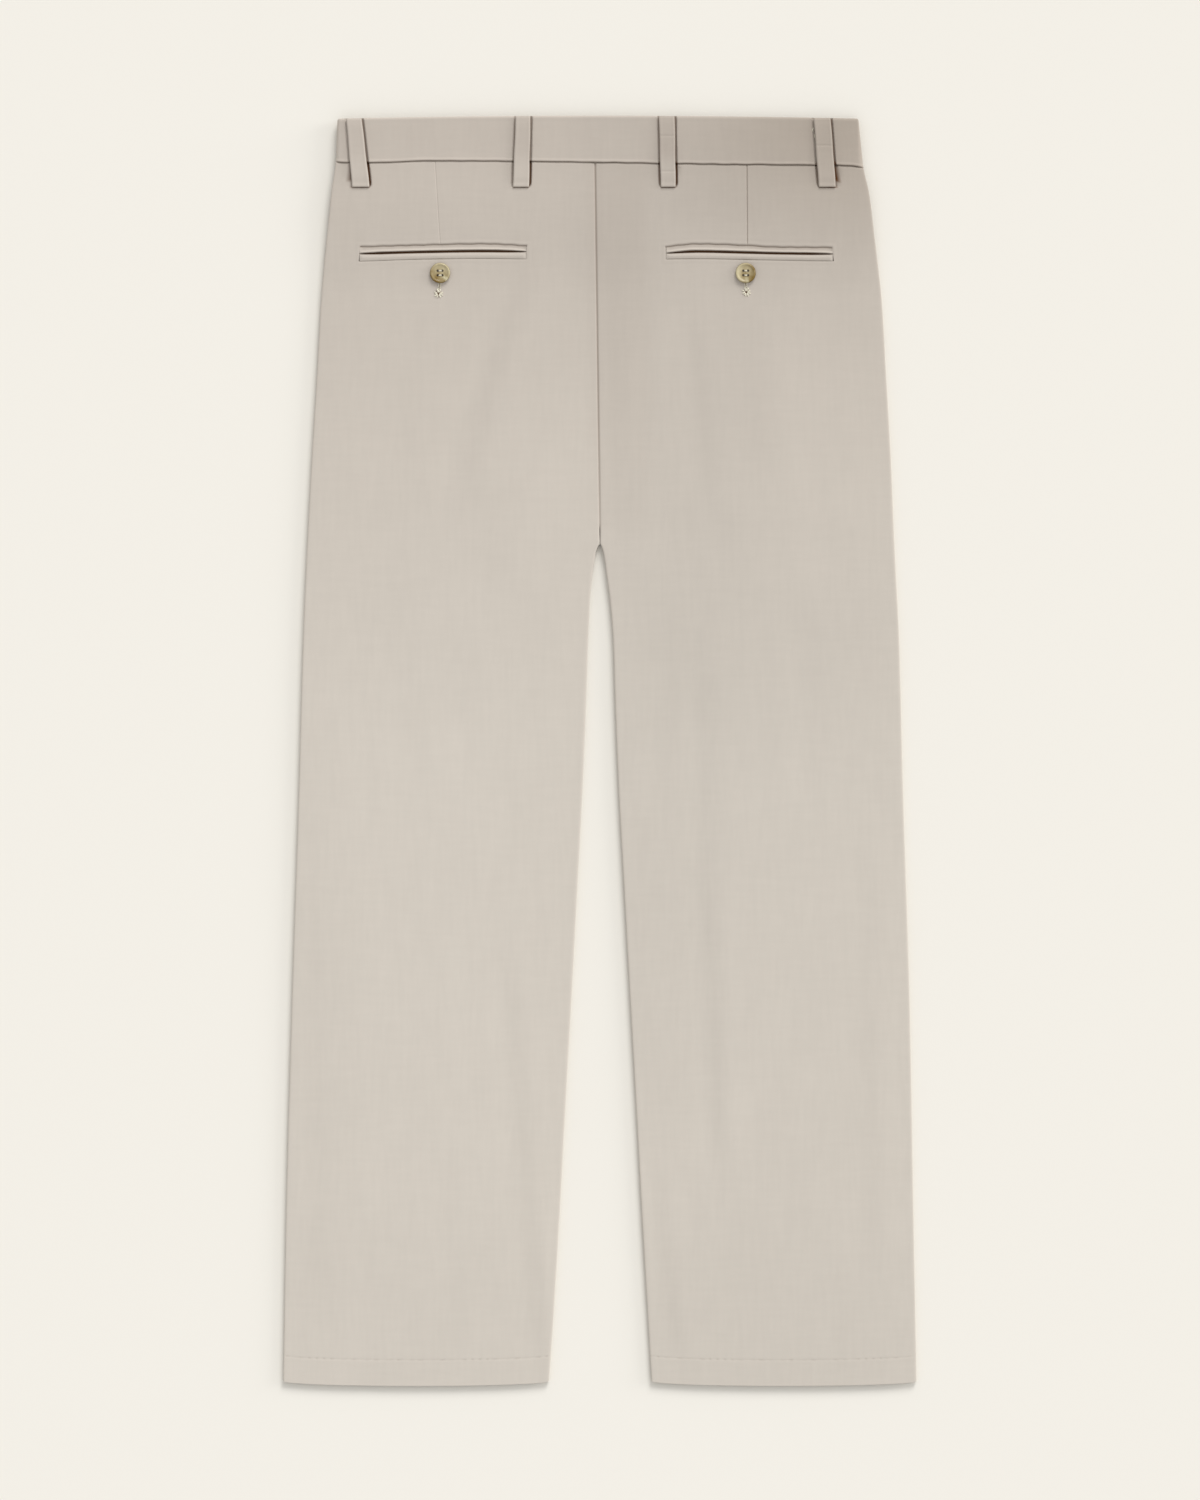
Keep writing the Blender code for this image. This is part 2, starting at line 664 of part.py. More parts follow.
def make_waistband(parent):
    # Share of the height, and how far the outside is drawn in there.
    rows = ((0.0, 0.5), (0.03, 0.08), (0.08, 0.0), (0.92, 0.0), (1.0, 0.2))
    middle = (BAND_TOP_Z + BAND_UNDER_Z) / 2
    outer, inner = [], []
    for share, drawn_in in rows:
        outer_row, inner_row = [], []
        for x, z, out_x, out_z in band_ring():
            width = SIDE_WIDTH[LEFT if x < 0 else RIGHT]
            taper = abs(out_x) * (width(BAND_HEIGHT) - width(0))
            x += math.copysign(taper, x) * (share - 0.5)
            y = LENGTH / 2 - band_down(x, share, 0.5 - 0.5 * out_z)
            outer_row.append((x - out_x * drawn_in, y, z - out_z * drawn_in))
            inner_row.append((x - out_x * BAND_WALL, y, z - out_z * BAND_WALL))
        outer.append(outer_row)
        inner.append(inner_row)
    add_cloth("waistband", np.array(outer), np.array(inner), parent)


# ---------------------------------------------------------------- belt loops
def make_strap(name, stations, centre_x, width_at, parent):
    """A flat strap along Y. stations lists (down, outer z, inner z)."""
    outer, inner = [], []
    for down, outer_z, inner_z in stations:
        facing = 1 if outer_z > inner_z else -1
        edge = width_at(down) / 2
        x, y = centre_x(down), LENGTH / 2 - down
        section = ((-edge, 0.4), (0.9 - edge, 0.0), (edge - 0.9, 0.0), (edge, 0.4))
        outer.append([(x + across, y, outer_z - facing * sink) for across, sink in section])
        inner.append([(x + across, y, inner_z) for across, sink in section])
    add_cloth(name, np.array(outer), np.array(inner), parent)


def make_back_loop(number, top_x, end_x, top_width, end_width, parent):
    """Leaves the top edge, stands off the waistband and is sewn to the panel below."""
    side = LEFT if top_x < 0 else RIGHT
    start = band_down(top_x, 0, 0)
    stand = BAND_TOP_Z + LOOP_STAND
    end_z = over_z(side, end_x, LOOP_END_DOWN - 4) + SEAM_GAP + 0.15
    # Down, height of its underside, and how much thinner it is there.
    places = ((start + 0.2, BAND_TOP_Z + SEAM_GAP, 0.35), (start + 2.5, BAND_TOP_Z + 0.6, 0.0),
              (start + 8, stand - 0.15, 0.0), (20, stand, 0.0), (34, stand, 0.0),
              (44, stand - 0.2, 0.0), (51, (stand + end_z) / 2, 0.0),
              (55.5, end_z + 0.1, 0.1), (LOOP_END_DOWN, end_z, 0.5))
    stations = [(down, z + LOOP_THICK - thinner, z) for down, z, thinner in places]
    make_strap(f"belt_loop_back_{number}", stations,
               lambda down: top_x + (end_x - top_x) * down / LOOP_END_DOWN,
               lambda down: top_width + (end_width - top_width) * down / LOOP_END_DOWN, parent)


def make_front_loop(number, x, parent):
    """Lies flat under the front of the waist, with its ends folded thick."""
    top = band_down(x, 0, 1) + 0.4
    end = top + LOOP_END_DOWN
    band_z = BAND_UNDER_Z - SEAM_GAP
    panel_z = under_z(end) - SEAM_GAP
    stations = ((top, 0.3, band_z), (top + 1, 0.0, band_z), (top + 6, 0.0, band_z),
                (top + 10, 0.0, LOOP_THICK), (end - 10, 0.0, LOOP_THICK),
                (end - 6, 0.0, panel_z), (end - 1, 0.0, panel_z), (end, 0.3, panel_z))
    make_strap(f"belt_loop_front_{number}", stations, lambda down: x,
               lambda down: LOOP_WIDTH, parent)


# ---------------------------------------------------------------- the trousers
def main():
    for obj in list(bpy.data.objects):
        bpy.data.objects.remove(obj, do_unlink=True)
    trousers = bpy.data.objects.new("chino_trousers", None)
    bpy.context.scene.collection.objects.link(trousers)
    for side in (LEFT, RIGHT):
        make_front_panel(side, trousers)
        make_pocket_facing(side, trousers)
        make_back_panel(side, trousers)
        make_pocket(side, trousers)
        make_pocket_button(side, trousers)
    make_waistband(trousers)
    waist_button_base = BAND_UNDER_Z - SEAM_GAP
    make_button("waist_button", WAIST_BUTTON_X, band_down(WAIST_BUTTON_X, 0.5, 1),
                waist_button_base, FRONT, trousers)
    for number, sizes in enumerate(BACK_LOOPS, start=1):
        make_back_loop(number, *sizes, trousers)
    for number, x in enumerate(FRONT_LOOPS, start=1):
        make_front_loop(number, x, trousers)


main()
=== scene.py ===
"""The looks of the flat-laid chino trousers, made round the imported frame.

+Y runs to the waist, +X to the wearer's right, and +Z is up, out of the back of the
trousers. Sizes are in millimetres and become metres when a mesh is made. "down" is the
distance below the top of the waistband at the centre back, and "side" is -1 for the
wearer's left leg and +1 for the right one. Each cloth piece is a thin shell on the form
of the solid that it replaces.
"""

import math

import bmesh
import bpy
import mathutils
import numpy as np
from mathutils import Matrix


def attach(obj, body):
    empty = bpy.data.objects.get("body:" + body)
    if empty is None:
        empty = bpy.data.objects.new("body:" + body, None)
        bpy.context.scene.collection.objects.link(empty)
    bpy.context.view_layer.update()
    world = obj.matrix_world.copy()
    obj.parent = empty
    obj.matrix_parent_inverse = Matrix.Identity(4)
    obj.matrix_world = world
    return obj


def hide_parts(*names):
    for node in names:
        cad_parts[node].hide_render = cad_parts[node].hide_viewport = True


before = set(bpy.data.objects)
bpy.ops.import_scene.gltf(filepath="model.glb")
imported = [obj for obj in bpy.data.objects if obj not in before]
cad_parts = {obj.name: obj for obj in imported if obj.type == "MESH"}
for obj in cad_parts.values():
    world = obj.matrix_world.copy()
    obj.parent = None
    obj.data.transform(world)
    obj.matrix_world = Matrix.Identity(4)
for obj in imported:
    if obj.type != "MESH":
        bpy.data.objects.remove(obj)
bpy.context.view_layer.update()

# ---------------------------------------------------------------- sizes, mm
LENGTH = 1060.0
CLOTH, SEAM_GAP, FOLD_REACH = 1.2, 0.3, 2.2
SEAT_SEAM_TOP_X, CROTCH_X, CROTCH_DOWN, CROTCH_ROLL = -2.9, 1.25, 357.0, 18.0
SEAT_SEAM_DIP, SEAT_SEAM_REACH = 0.2, 4.0
BAND_HEIGHT, BAND_WALL, BAND_TOP_DROP = 38.4, 1.8, 2.4
BAND_UNDER_Z, BAND_TOP_Z = 2.6, 8.6
FRONT_DROP, TAB_REACH, TAB_RAMP, BAND_END_X = 9.0, 33.0, 24.0, 4.0
PANEL_LIFT, LIFT_FROM, LIFT_TO, CROWN = 3.0, 62.0, 150.0, 0.45
HEM_BOW, HEM_FULLNESS, HEM_DEPTH, HEM_WALL = 4.0, 0.5, 21.5, 1.9
HEM_CORNER_DOWN = LENGTH - HEM_BOW
HEM_TOP = HEM_CORNER_DOWN - HEM_DEPTH
HEM_STITCH_PITCH = 6.2
POCKET_FROM_SEAM, POCKET_WIDTH = 127.5, 139.2
POCKET_DOWN, POCKET_HEIGHT = 107.6, 12.0
SLIT, WELT_END_GAP = 1.9, 0.4
BUTTON_RADIUS, BUTTON_THICK, BUTTON_HOLE, BUTTON_HOLE_PLACE = 8.5, 2.3, 0.95, 1.9
BUTTON_DOWN, BUTTON_SHIFT, WAIST_BUTTON_X = 131.0, -3.0, 19.0
SLANT_FROM_SIDE, SLANT_END_DOWN, SLANT_END_FROM_SIDE = 45.0, 186.0, 4.4
LOOP_WIDTH, LOOP_THICK, LOOP_END_DOWN, LOOP_STAND = 13.4, 1.4, 59.0, 1.2
LOOP_DITCH, BAND_DITCH = 1.2, 1.0  # how deep the cloth sinks beside a loop
RIGHT_DITCH = 1.35  # the ditch on a loop's right is this much deeper
FOLD_FULLNESS = 0.22  # 1 is an ellipse, and less is a squarer, pressed fold
CREASE_END, TROUGH_END = 2.2, 2.0  # how far they fade past their ends, in half widths
EYE_STITCHES, SLIT_STITCH_PITCH = 17, 0.95  # of a keyhole buttonhole
FRONT_STITCH_PITCH, FRONT_STITCH, MOUTH_STITCH_INSETS = 2.9, 2.1, (1.8, 7.5)

LEFT, RIGHT = -1, 1
SIDE_NAMES = {LEFT: "left", RIGHT: "right"}
BACK, FRONT = 1, -1
LIGHT_LEVEL = 1.12  # how bright the studio light makes a white surface that faces up

# Suns: name, degrees round from +X, degrees up, width in degrees, share of the light.
SUNS = (("key", 72, 32, 28, 0.32), ("rake", 15, 14, 25, 0.08))

# Half widths at the side folds: down, left, right.
SIDE_FOLDS = (
    (0, 218.0, 217.1), (38, 219.3, 221.1), (61, 222.6, 225.7), (86, 225.3, 228.7),
    (119, 228.8, 232.8), (153, 231.6, 236.4), (220, 235.4, 240.3), (286, 239.4, 244.0),
    (357, 243.2, 247.0), (437, 246.6, 250.9), (570, 250.4, 254.4), (737, 255.9, 259.7),
    (904, 260.6, 262.7), (1056, 263.3, 265.6),
)
# Inner edges of the legs: down, x of the left, x of the right.
INSEAMS = (
    (357, 1.1, 1.4), (361, -1.5, 3.4), (370, -3.2, 5.1), (385, -5.5, 7.1), (404, -7.3, 9.6),
    (437, -8.8, 12.3), (487, -10.5, 13.9), (554, -13.2, 16.5), (654, -18.4, 21.9),
    (738, -22.8, 26.5), (821, -27.5, 31.2), (905, -32.0, 35.6), (988, -36.9, 40.4),
    (1056, -41.5, 44.4),
)
# Air between the two layers: down, height.
AIR = ((38, 2.6), (90, 2.9), (400, 2.9), (800, 2.6), (1056, 2.0))
# The waist seam across the back: x, down.
WAIST_SEAM = (
    (-221, 37.7), (-206, 38.6), (-192, 38.5), (-134, 36.9), (-72, 37.3), (8, 38.3),
    (51, 39.1), (124, 40.0), (182, 40.5), (207, 40.9), (221, 42.5),
)
# The lines of a back pocket: x, top edge, slit, bottom edge, as down.
POCKET_LINES = {
    LEFT: ((-199, 109.0, 114.8, 121.3), (-146, 107.5, 113.3, 119.6),
           (-96, 106.5, 112.6, 119.0), (-59, 108.2, 113.0, 119.3)),
    RIGHT: ((56, 109.0, 114.4, 119.5), (82, 106.6, 112.9, 119.2),
            (124, 107.9, 113.8, 119.9), (147, 109.2, 114.4, 120.4),
            (196, 109.7, 115.0, 121.0)),
}
# Darts: x at the waist seam and at the pocket, and depth.
DARTS = {LEFT: (-136.5, -132.2), RIGHT: (123.8, 124.2)}
DART_DEPTHS = {LEFT: 0.28, RIGHT: 0.7}

# Sewn lines of the back: how deep the cloth rolls into each and how far, and how much
# painted shade it gets and how far.
WAIST_ROLL, WAIST_SHADE = (1.05, 1.15), (0.34, 0.8)
SEAT_ROLL, SEAT_SHADE = (0.75, 0.7), (0.28, 0.55)
DART_REACH, DART_SHADE = 0.38, (0.18, 0.45)
BAND_LIP, BAND_TOP_LIP, BAND_SHADE = (0.36, 0.9), (0.14, 1.6), (0.24, 0.35)
# A faintly pressed frame round a back pocket, whose edges are drawn in: how far out, height
# above the pocket and elsewhere, reach.
POCKET_FRAME = ((1.2, 0.13, 0.05, 0.9), (4.0, -0.05, -0.05, 0.9), (0.0, -0.8, -0.16, 0.6))
# The two lips of a back pocket, at even steps from the first edge down to the last: height
# over the panel, depth under it. Then their painted shade lines: share of the way, shade, reach.
LIPS = {
    "upper": ((-0.8, -0.65, -0.6, -0.55, -0.45, -0.2, 0.3, 0.7, -0.3), (1.6,) * 8 + (1.2,),
              ((0.0, 0.34, 0.12), (0.3, 0.08, 0.25), (1.0, 0.36, 0.05))),
    "lower": ((-0.4, 0.0, 0.3, 0.52, 0.62, 0.6, 0.5, 0.4, 0.05), (1.4,) + (1.6,) * 8,
              ((1.0, 0.05, 0.06), (0.0, 0.60, 0.06))),
}

# Soft folds of the back. The cloth rises across each line, from its left to its right,
# or from below it: x and down of one end, of the other end, half width, height.
CREASES = (
    (-65, 148, -75, 180, 18, 1.20), (-87, 212, -107, 280, 17, 2.00),
    (-150, 170, -163, 262, 20, 0.30), (14, 150, 15, 303, 15, 0.45),
    (45, 170, 47, 245, 14, 0.40), (82, 190, 91, 290, 12, 0.75), (131, 190, 134, 268, 12, 0.40),
    (168, 196, 172, 330, 26, -0.40), (60, 336, 230, 345, 26, 0.30),
    (-190, 322, -60, 318, 22, 0.25), (-196, 330, -190, 400, 16, 0.25),
    (88, 470, 92, 600, 13, 0.65), (93, 665, 101, 845, 14, 1.25), (62, 440, 60, 560, 16, 0.40),
    (142, 437, 147, 571, 12, 0.35), (181, 445, 184, 579, 17, 0.40),
    (226, 650, 229, 930, 14, 0.60), (52, 900, 64, 1008, 12, 0.75),
    (-70, 740, -50, 1008, 14, 1.00), (-160, 425, -150, 540, 16, 0.35),
    (-108, 480, -106, 540, 12, 0.30), (-236, 720, -233, 940, 16, 0.55),
    (-124, 905, -119, 1000, 12, 0.30),
)
# Soft troughs of the hidden front: x and down of both ends, half width, depth.
FRONT_TROUGHS = (
    (-14, 330, -86, 288, 9, 0.40), (-20, 352, -118, 334, 12, 0.35),
    (16, 338, 92, 302, 10, 0.40), (24, 360, 104, 352, 13, 0.30),
    (-118, 560, -205, 575, 18, 0.30), (96, 590, 188, 571, 20, 0.35),
    (-142, 380, -150, 620, 12, 0.25), (146, 400, 139, 700, 13, 0.25),
    (-150, 760, -128, 990, 12, 0.30), (118, 800, 140, 1005, 10, 0.30),
)
# Stitching of the fly, as x and down.
FLY_STITCHES = (
    (-33, 52), (-33, 90), (-33, 130), (-32.6, 160), (-30, 177), (-24.5, 191), (-16, 202),
    (-3, 210),
)
# Belt loops at the back: x at the top, x at the lower end, width at each; x in front.
BACK_LOOPS = (
    (-204.2, -198.3, 12.4, 14.2), (-62.9, -64.7, 12.0, 13.1), (56.9, 58.1, 12.8, 12.1),
    (186.3, 190.8, 13.8, 13.8),
)
FRONT_LOOPS = (-96.0, 96.0)
# Marks across a loop where it was folded: the loop, counted from 0, and down of each mark.
LOOP_FOLDS = {2: (17.0, 46.5), 3: (25.0,)}
# The thread end beside the fourth loop: x, down along each strand.
THREAD_ENDS = (
    ((179.6, 9.8), (178.6, 11.4), (178.7, 13.2)), ((180.9, 12.6), (180.6, 14.2), (181.4, 15.6)),
    ((179.9, 15.4), (180.4, 17.0), (180.2, 18.4)),
)
# Painted shade on the left and right of each back loop, on the waistband and then on the
# panel below it, and painted shade on the loop itself on the waistband.
LOOP_SHADES = (
    (0.00, 0.55, 0.60, 0.95, 0.02), (0.42, 0.48, 0.34, 0.90, 0.05),
    (0.46, 0.52, 0.62, 0.90, 0.10), (0.00, 0.62, 0.46, 1.00, 0.00),
)
# Painted light and shade, paler and darker stretches of the cloth: centre and reach in metres, and
# the change.
PAINTED_LIGHT_PATCHES = (
    ((0.200, 0.250), (0.11, 0.15), 0.030), ((0.100, 0.260), (0.07, 0.12), -0.024),
    ((-0.030, 0.220), (0.05, 0.12), 0.026), ((0.060, 0.120), (0.08, 0.14), -0.022),
    ((0.020, 0.450), (0.06, 0.14), -0.030), ((-0.110, 0.130), (0.12, 0.14), -0.008),
    ((0.100, 0.478), (0.07, 0.05), -0.055), ((0.160, 0.080), (0.13, 0.12), -0.024),
    ((0.060, -0.080), (0.09, 0.26), -0.036), ((0.120, -0.500), (0.18, 0.14), -0.030),
    ((-0.150, -0.500), (0.18, 0.14), -0.028), ((-0.250, -0.220), (0.06, 0.30), -0.026),
)
# Painted shade at the upper corner of the wearer's right: centre and reach in metres.
CORNER_SHADE_PATCH = ((0.21, 0.53), (0.22, 0.17))
# Eyes of the back pockets' keyhole buttonholes: x, down.
KEYHOLES = {LEFT: (-133.7, 148.0), RIGHT: (123.4, 146.8)}
# A button's turned profile from the middle of its back to the middle of its face: radius,
# height.
BUTTON_PROFILE = (
    (0, 0), (6.6, 0), (7.9, 0.22), (8.4, 0.75), (BUTTON_RADIUS, 1.25), (8.35, 1.75), (8.0, 2.1),
    (7.5, BUTTON_THICK), (7.0, 2.24), (6.5, 1.95), (6.0, 1.7), (5.3, 1.55), (0, 1.45),
)
# A strand of its thread from hole to hole: share of the holes' distance, height.
BUTTON_STRAND = ((-0.7, -1.6), (-0.64, -0.3), (-0.4, 0.25), (0, 0.36), (0.4, 0.25),
                 (0.64, -0.3), (0.7, -1.6))

# Colours as they look in the studio light, 0 to 255, the wearer's left before the right.
# The hip tones are the leg tones with painted shade, darker towards the waist.
SHADED_HIP_TONES = ((195, 185, 174), (191, 181, 170))
LEG_TONES = ((211, 203, 192), (208, 200, 189))
# The corner and seam tones are colours of painted shade.
CORNER_SHADE_TONE, SEAM_SHADE_TONE, FLOOR_TONE = (158, 145, 131), (90, 53, 16), (243, 239, 230)
HORN_BROWN, HORN_PALE, HORN_STREAK = (126, 101, 44), (204, 192, 156), (212, 204, 170)
# The horn's rim and hole tones are colours of painted shade.
HORN_RIM_SHADE, HORN_HOLE_SHADE = (92, 70, 40), (66, 46, 24)
RIB_PITCH, RIB_TURN, WEFT_PITCH = 0.00062, 27, 0.00034  # metres, degrees, metres
NOISE_LOW, NOISE_HIGH = 0.3, 0.7  # a noise texture hardly leaves this range
# The camera looks straight down, in metres: its height over the cloth, the height of the
# picture at the cloth, and its place.
CAMERA_HEIGHT, PICTURE_HEIGHT = 4.0, 1.2525
CAMERA_PLACE = (0.00125, 0.001, CAMERA_HEIGHT + 0.005)


# ---------------------------------------------------------------- smooth helpers
def eased(t):
    t = np.clip(t, 0.0, 1.0)
    return t * t * (3 - 2 * t)


def bump(distance, reach):
    return np.exp(-((distance / reach) ** 2))


def line(distance, height, reach):
    """The height that a soft line adds at this distance from its middle."""
    return height * bump(distance, reach)


def from_line(x, down, x0, down0, x1, down1):
    """How far a place lies to the right of a line, and how far past the line's ends."""
    length = math.hypot(x1 - x0, down1 - down0)
    along_x, along_down = (x1 - x0) / length, (down1 - down0) / length
    along = (x - x0) * along_x + (down - down0) * along_down
    across = (x - x0) * along_down - (down - down0) * along_x
    return across, np.maximum(0, np.maximum(-along, along - length))


def points(x, y, z):
    return np.stack(np.broadcast_arrays(x, y, z), -1)


def smooth_column(rows, column):
    """A smooth function of a table's first column that never overshoots its rows."""
    table = np.array(rows, float)
    xs, ys = table[:, 0], table[:, column]
    steps = np.diff(ys) / np.diff(xs)
    before, after = steps[:-1], steps[1:]
    same_way = before * after > 0
    middle = np.where(same_way, 2 * before * after / np.where(same_way, before + after, 1), 0)
    slopes = np.concatenate([steps[:1], middle, steps[-1:]])

    def value(x):
        x = np.clip(x, xs[0], xs[-1])
        i = np.clip(np.searchsorted(xs, x, side="right") - 1, 0, len(xs) - 2)
        width = xs[i + 1] - xs[i]
        t = (x - xs[i]) / width
        return (ys[i] * (1 + 2 * t) * (1 - t) ** 2 + ys[i + 1] * t * t * (3 - 2 * t)
                + slopes[i] * width * t * (1 - t) ** 2
                - slopes[i + 1] * width * t * t * (1 - t))

    return value


SIDE_WIDTH = {LEFT: smooth_column(SIDE_FOLDS, 1), RIGHT: smooth_column(SIDE_FOLDS, 2)}
INSEAM_X = {LEFT: smooth_column(INSEAMS, 1), RIGHT: smooth_column(INSEAMS, 2)}
AIR_AT = smooth_column(AIR, 1)
EVEN_WAIST = smooth_column(WAIST_SEAM, 1)
POCKET_TOP, POCKET_SLIT, POCKET_BOTTOM = (
    {side: smooth_column(POCKET_LINES[side], column) for side in (LEFT, RIGHT)}
    for column in (1, 2, 3)
)


def back_waist(x):
    """The waist seam with its small waves, which are stronger on the wearer's right."""
    wave = 0.6 * np.sin(x / 3.9 + 1.9 * np.sin(x / 17.0)) + 0.4 * np.sin(x / 9.1 + 2.0)
    return EVEN_WAIST(x) + (0.12 + 0.14 * eased((x + 20) / 60)) * wave


def spaced(start, *runs):
    """Numbers from start on, in runs of (end, step) that each go on from the last."""
    parts = []
    for end, step in runs:
        parts.append(np.linspace(start, end, max(2, round((end - start) / step) + 1))[:-1])
        start = end
    return np.concatenate(parts + [[start]])


# ---------------------------------------------------------------- plan and heights
def seat_seam_x(down):
    t = np.clip((down - BAND_HEIGHT) / (CROTCH_DOWN - BAND_HEIGHT), 0, 1)
    return SEAT_SEAM_TOP_X + (CROTCH_X - SEAT_SEAM_TOP_X) * t


def inner_x(side, down):
    above = seat_seam_x(down) + side * SEAM_GAP / 2
    return np.where(down < CROTCH_DOWN, above, INSEAM_X[side](down))


def outer_x(side, down):
    return side * SIDE_WIDTH[side](down)


def frontness(x):
    return 0.5 + 0.5 * np.cos(np.pi * np.minimum(1, np.abs(x) / SIDE_WIDTH[LEFT](0)))


def waist_seam_down(facing, x):
    return back_waist(x) + (FRONT_DROP * frontness(x) if facing == FRONT else 0.0)


def pocket_shift(side, x, down):
    """How a back panel's rows bend to follow its pocket."""
    t = np.clip((down - POCKET_DOWN) / POCKET_HEIGHT, 0, 1)
    at_top = POCKET_TOP[side](x) - POCKET_DOWN
    at_bottom = POCKET_BOTTOM[side](x) - POCKET_DOWN - POCKET_HEIGHT
    away = np.maximum(POCKET_DOWN - down, down - POCKET_DOWN - POCKET_HEIGHT)
    wave = 0.16 * np.sin(x / 2.6 + 1.5 * np.sin(x / 13.0)) * (1 - t)
    return ((1 - t) * at_top + t * at_bottom + wave) * bump(np.maximum(away, 0), 18)


def row_shift(facing, side, x, down):
    """How much lower than its nominal down a row of a panel lies at x."""
    inner, outer = inner_x(side, down), outer_x(side, down)
    t = (x - inner) / (outer - inner)
    bow = HEM_BOW if facing == BACK else HEM_BOW / 2
    bow = bow * np.maximum(0, 4 * t * (1 - t)) ** HEM_FULLNESS
    at_waist = 1 - eased((down - BAND_HEIGHT) / (50 if facing == BACK else 90))
    shift = at_waist * (waist_seam_down(facing, x) + SEAM_GAP - BAND_HEIGHT)
    shift = shift + eased((down - 900) / 130) * bow
    return shift + pocket_shift(side, x, down) if facing == BACK else shift


def place_y(facing, side, x, down):
    return LENGTH / 2 - down - row_shift(facing, side, x, down)


def inner_roll(down):
    return eased((down - CROTCH_DOWN + CROTCH_ROLL) / CROTCH_ROLL)


def under_z(down):
    return PANEL_LIFT * (1 - eased((down - LIFT_FROM) / (LIFT_TO - LIFT_FROM)))


def creases_z(x, down):
    total = 0.0
    for *ends, half_width, height in CREASES:
        across, past_end = from_line(x, down, *ends)
        across = across / half_width
        fade = bump(past_end, CREASE_END * half_width)
        total = total + height * across * bump(across, 1) * fade
    return total


def over_z(side, x, down):
    inner, outer = inner_x(side, down), outer_x(side, down)
    from_inner, from_outer = np.abs(x - inner), np.abs(x - outer)
    middle = 4 * from_inner * from_outer / (outer - inner) ** 2
    below_waist = eased((down - BAND_HEIGHT) / 60)
    fade = eased(from_outer / 16) * eased(from_inner / 10) * below_waist
    level = under_z(down) + 2 * CLOTH + AIR_AT(down)
    return level + CROWN * middle * below_waist + creases_z(x, down) * fade


# ---------------------------------------------------------------- fine relief of the back
def dart_x(side, down):
    top_x, end_x = DARTS[side]
    return top_x + (end_x - top_x) * (down - BAND_HEIGHT) / (POCKET_DOWN - BAND_HEIGHT)


def unevenness(x, down, seed):
    """Small swells of cloth that was pressed and then handled."""
    random = np.random.RandomState(seed)
    total = 0.0
    for _ in range(14):
        wave = random.uniform(22, 75)
        turn = random.normal(0.0, 0.45)
        phase = random.uniform(0, 2 * np.pi)
        across = x * math.cos(turn) + down * math.sin(turn) * 0.45
        total = total + 0.012 * np.sin(2 * np.pi * across / wave + phase)
    return total


def loop_x(number, down):
    top_x, end_x = BACK_LOOPS[number][:2]
    return top_x + (end_x - top_x) * down / LOOP_END_DOWN


def loop_width(number, down):
    top_width, end_width = BACK_LOOPS[number][2:]
    return top_width + (end_width - top_width) * down / LOOP_END_DOWN


def beside_loop(number, x, down):
    """How far to the right of a back loop's middle a place is, and how far past its edge."""
    from_loop = x - loop_x(number, down)
    return from_loop, np.abs(from_loop) - loop_width(number, down) / 2


def loop_ditch(x, down):
    """Depth of the narrow ditches on both sides of each back loop, 0 to 1; down is the
    real distance below the top of the waistband."""
    total = 0.0
    for number in range(len(BACK_LOOPS)):
        from_loop, beside = beside_loop(number, x, down)
        past_end = np.maximum(0, down - LOOP_END_DOWN + 1.5)
        width = 2.2 - 1.4 * eased(past_end / 3)
        ditch = 1 - eased((beside - width + 0.9) / 0.9)
        total = total + ditch * np.where(from_loop > 0, RIGHT_DITCH, 1.0)
    return total * (1 - eased((down - LOOP_END_DOWN + 1) / 2.2))


def loop_shade(x, down):
    """Painted shade in the ditches beside the back loops, and under their ends, 0 to 1."""
    on_panel = eased((down - 36) / 4)
    total = ends = 0.0
    for number, shades in enumerate(LOOP_SHADES):
        from_loop, beside = beside_loop(number, x, down)
        band, panel = (np.where(from_loop > 0, right, left)
                       for left, right in (shades[:2], shades[2:4]))
        past_end = np.maximum(0, down - LOOP_END_DOWN + 4)
        width = np.where(from_loop > 0, 1.9, 1.5) + 0.6 * on_panel
        width = width * (1 - 0.75 * eased(past_end / 5))
        in_ditch = 1 - eased((beside - width + 0.7) / 0.8)
        total = total + in_ditch * (band + (panel - band) * on_panel)
        # Painted shadow in a thin line under each loop's end.
        under_end = 1 - eased((beside + 0.2) / 0.6)
        ends = ends + 0.66 * under_end * bump(down - LOOP_END_DOWN - 0.35, 0.55)
    return total * (1 - eased((down - LOOP_END_DOWN + 0.6) / 1.8)) + ends


def back_bend(side, x, down):
    """Where both sides of a back panel's cloth are pressed down beside the loops."""
    shifted = down + row_shift(BACK, side, x, down)
    return -LOOP_DITCH * loop_ditch(x, shifted)


def pocket_distances(side, x, down):
    """How far outside the pocket's opening a place is, and whether it is above it."""
    from_seam = np.abs(x - seat_seam_x(down))
    from_end = np.abs(from_seam - POCKET_FROM_SEAM) - POCKET_WIDTH / 2
    above, below = POCKET_DOWN - down, down - POCKET_DOWN - POCKET_HEIGHT
    return np.maximum(from_end, np.maximum(above, below)), above > np.maximum(below, from_end)


def hem_catch(x):
    """How strongly the threads of a hem catch the cloth at x, 0 to 1."""
    return (0.5 + 0.5 * np.cos(2 * np.pi * x / HEM_STITCH_PITCH)) ** 3


def hem_relief(x, down):
    """A hem shows through as a faint row of caught threads."""
    return -(0.07 + 0.16 * hem_catch(x)) * bump(down - HEM_TOP, 0.8)


def above_pocket(down):
    """1 above a back pocket and 0 below its upper edge."""
    return eased((POCKET_DOWN + 0.5 - down) / 3)


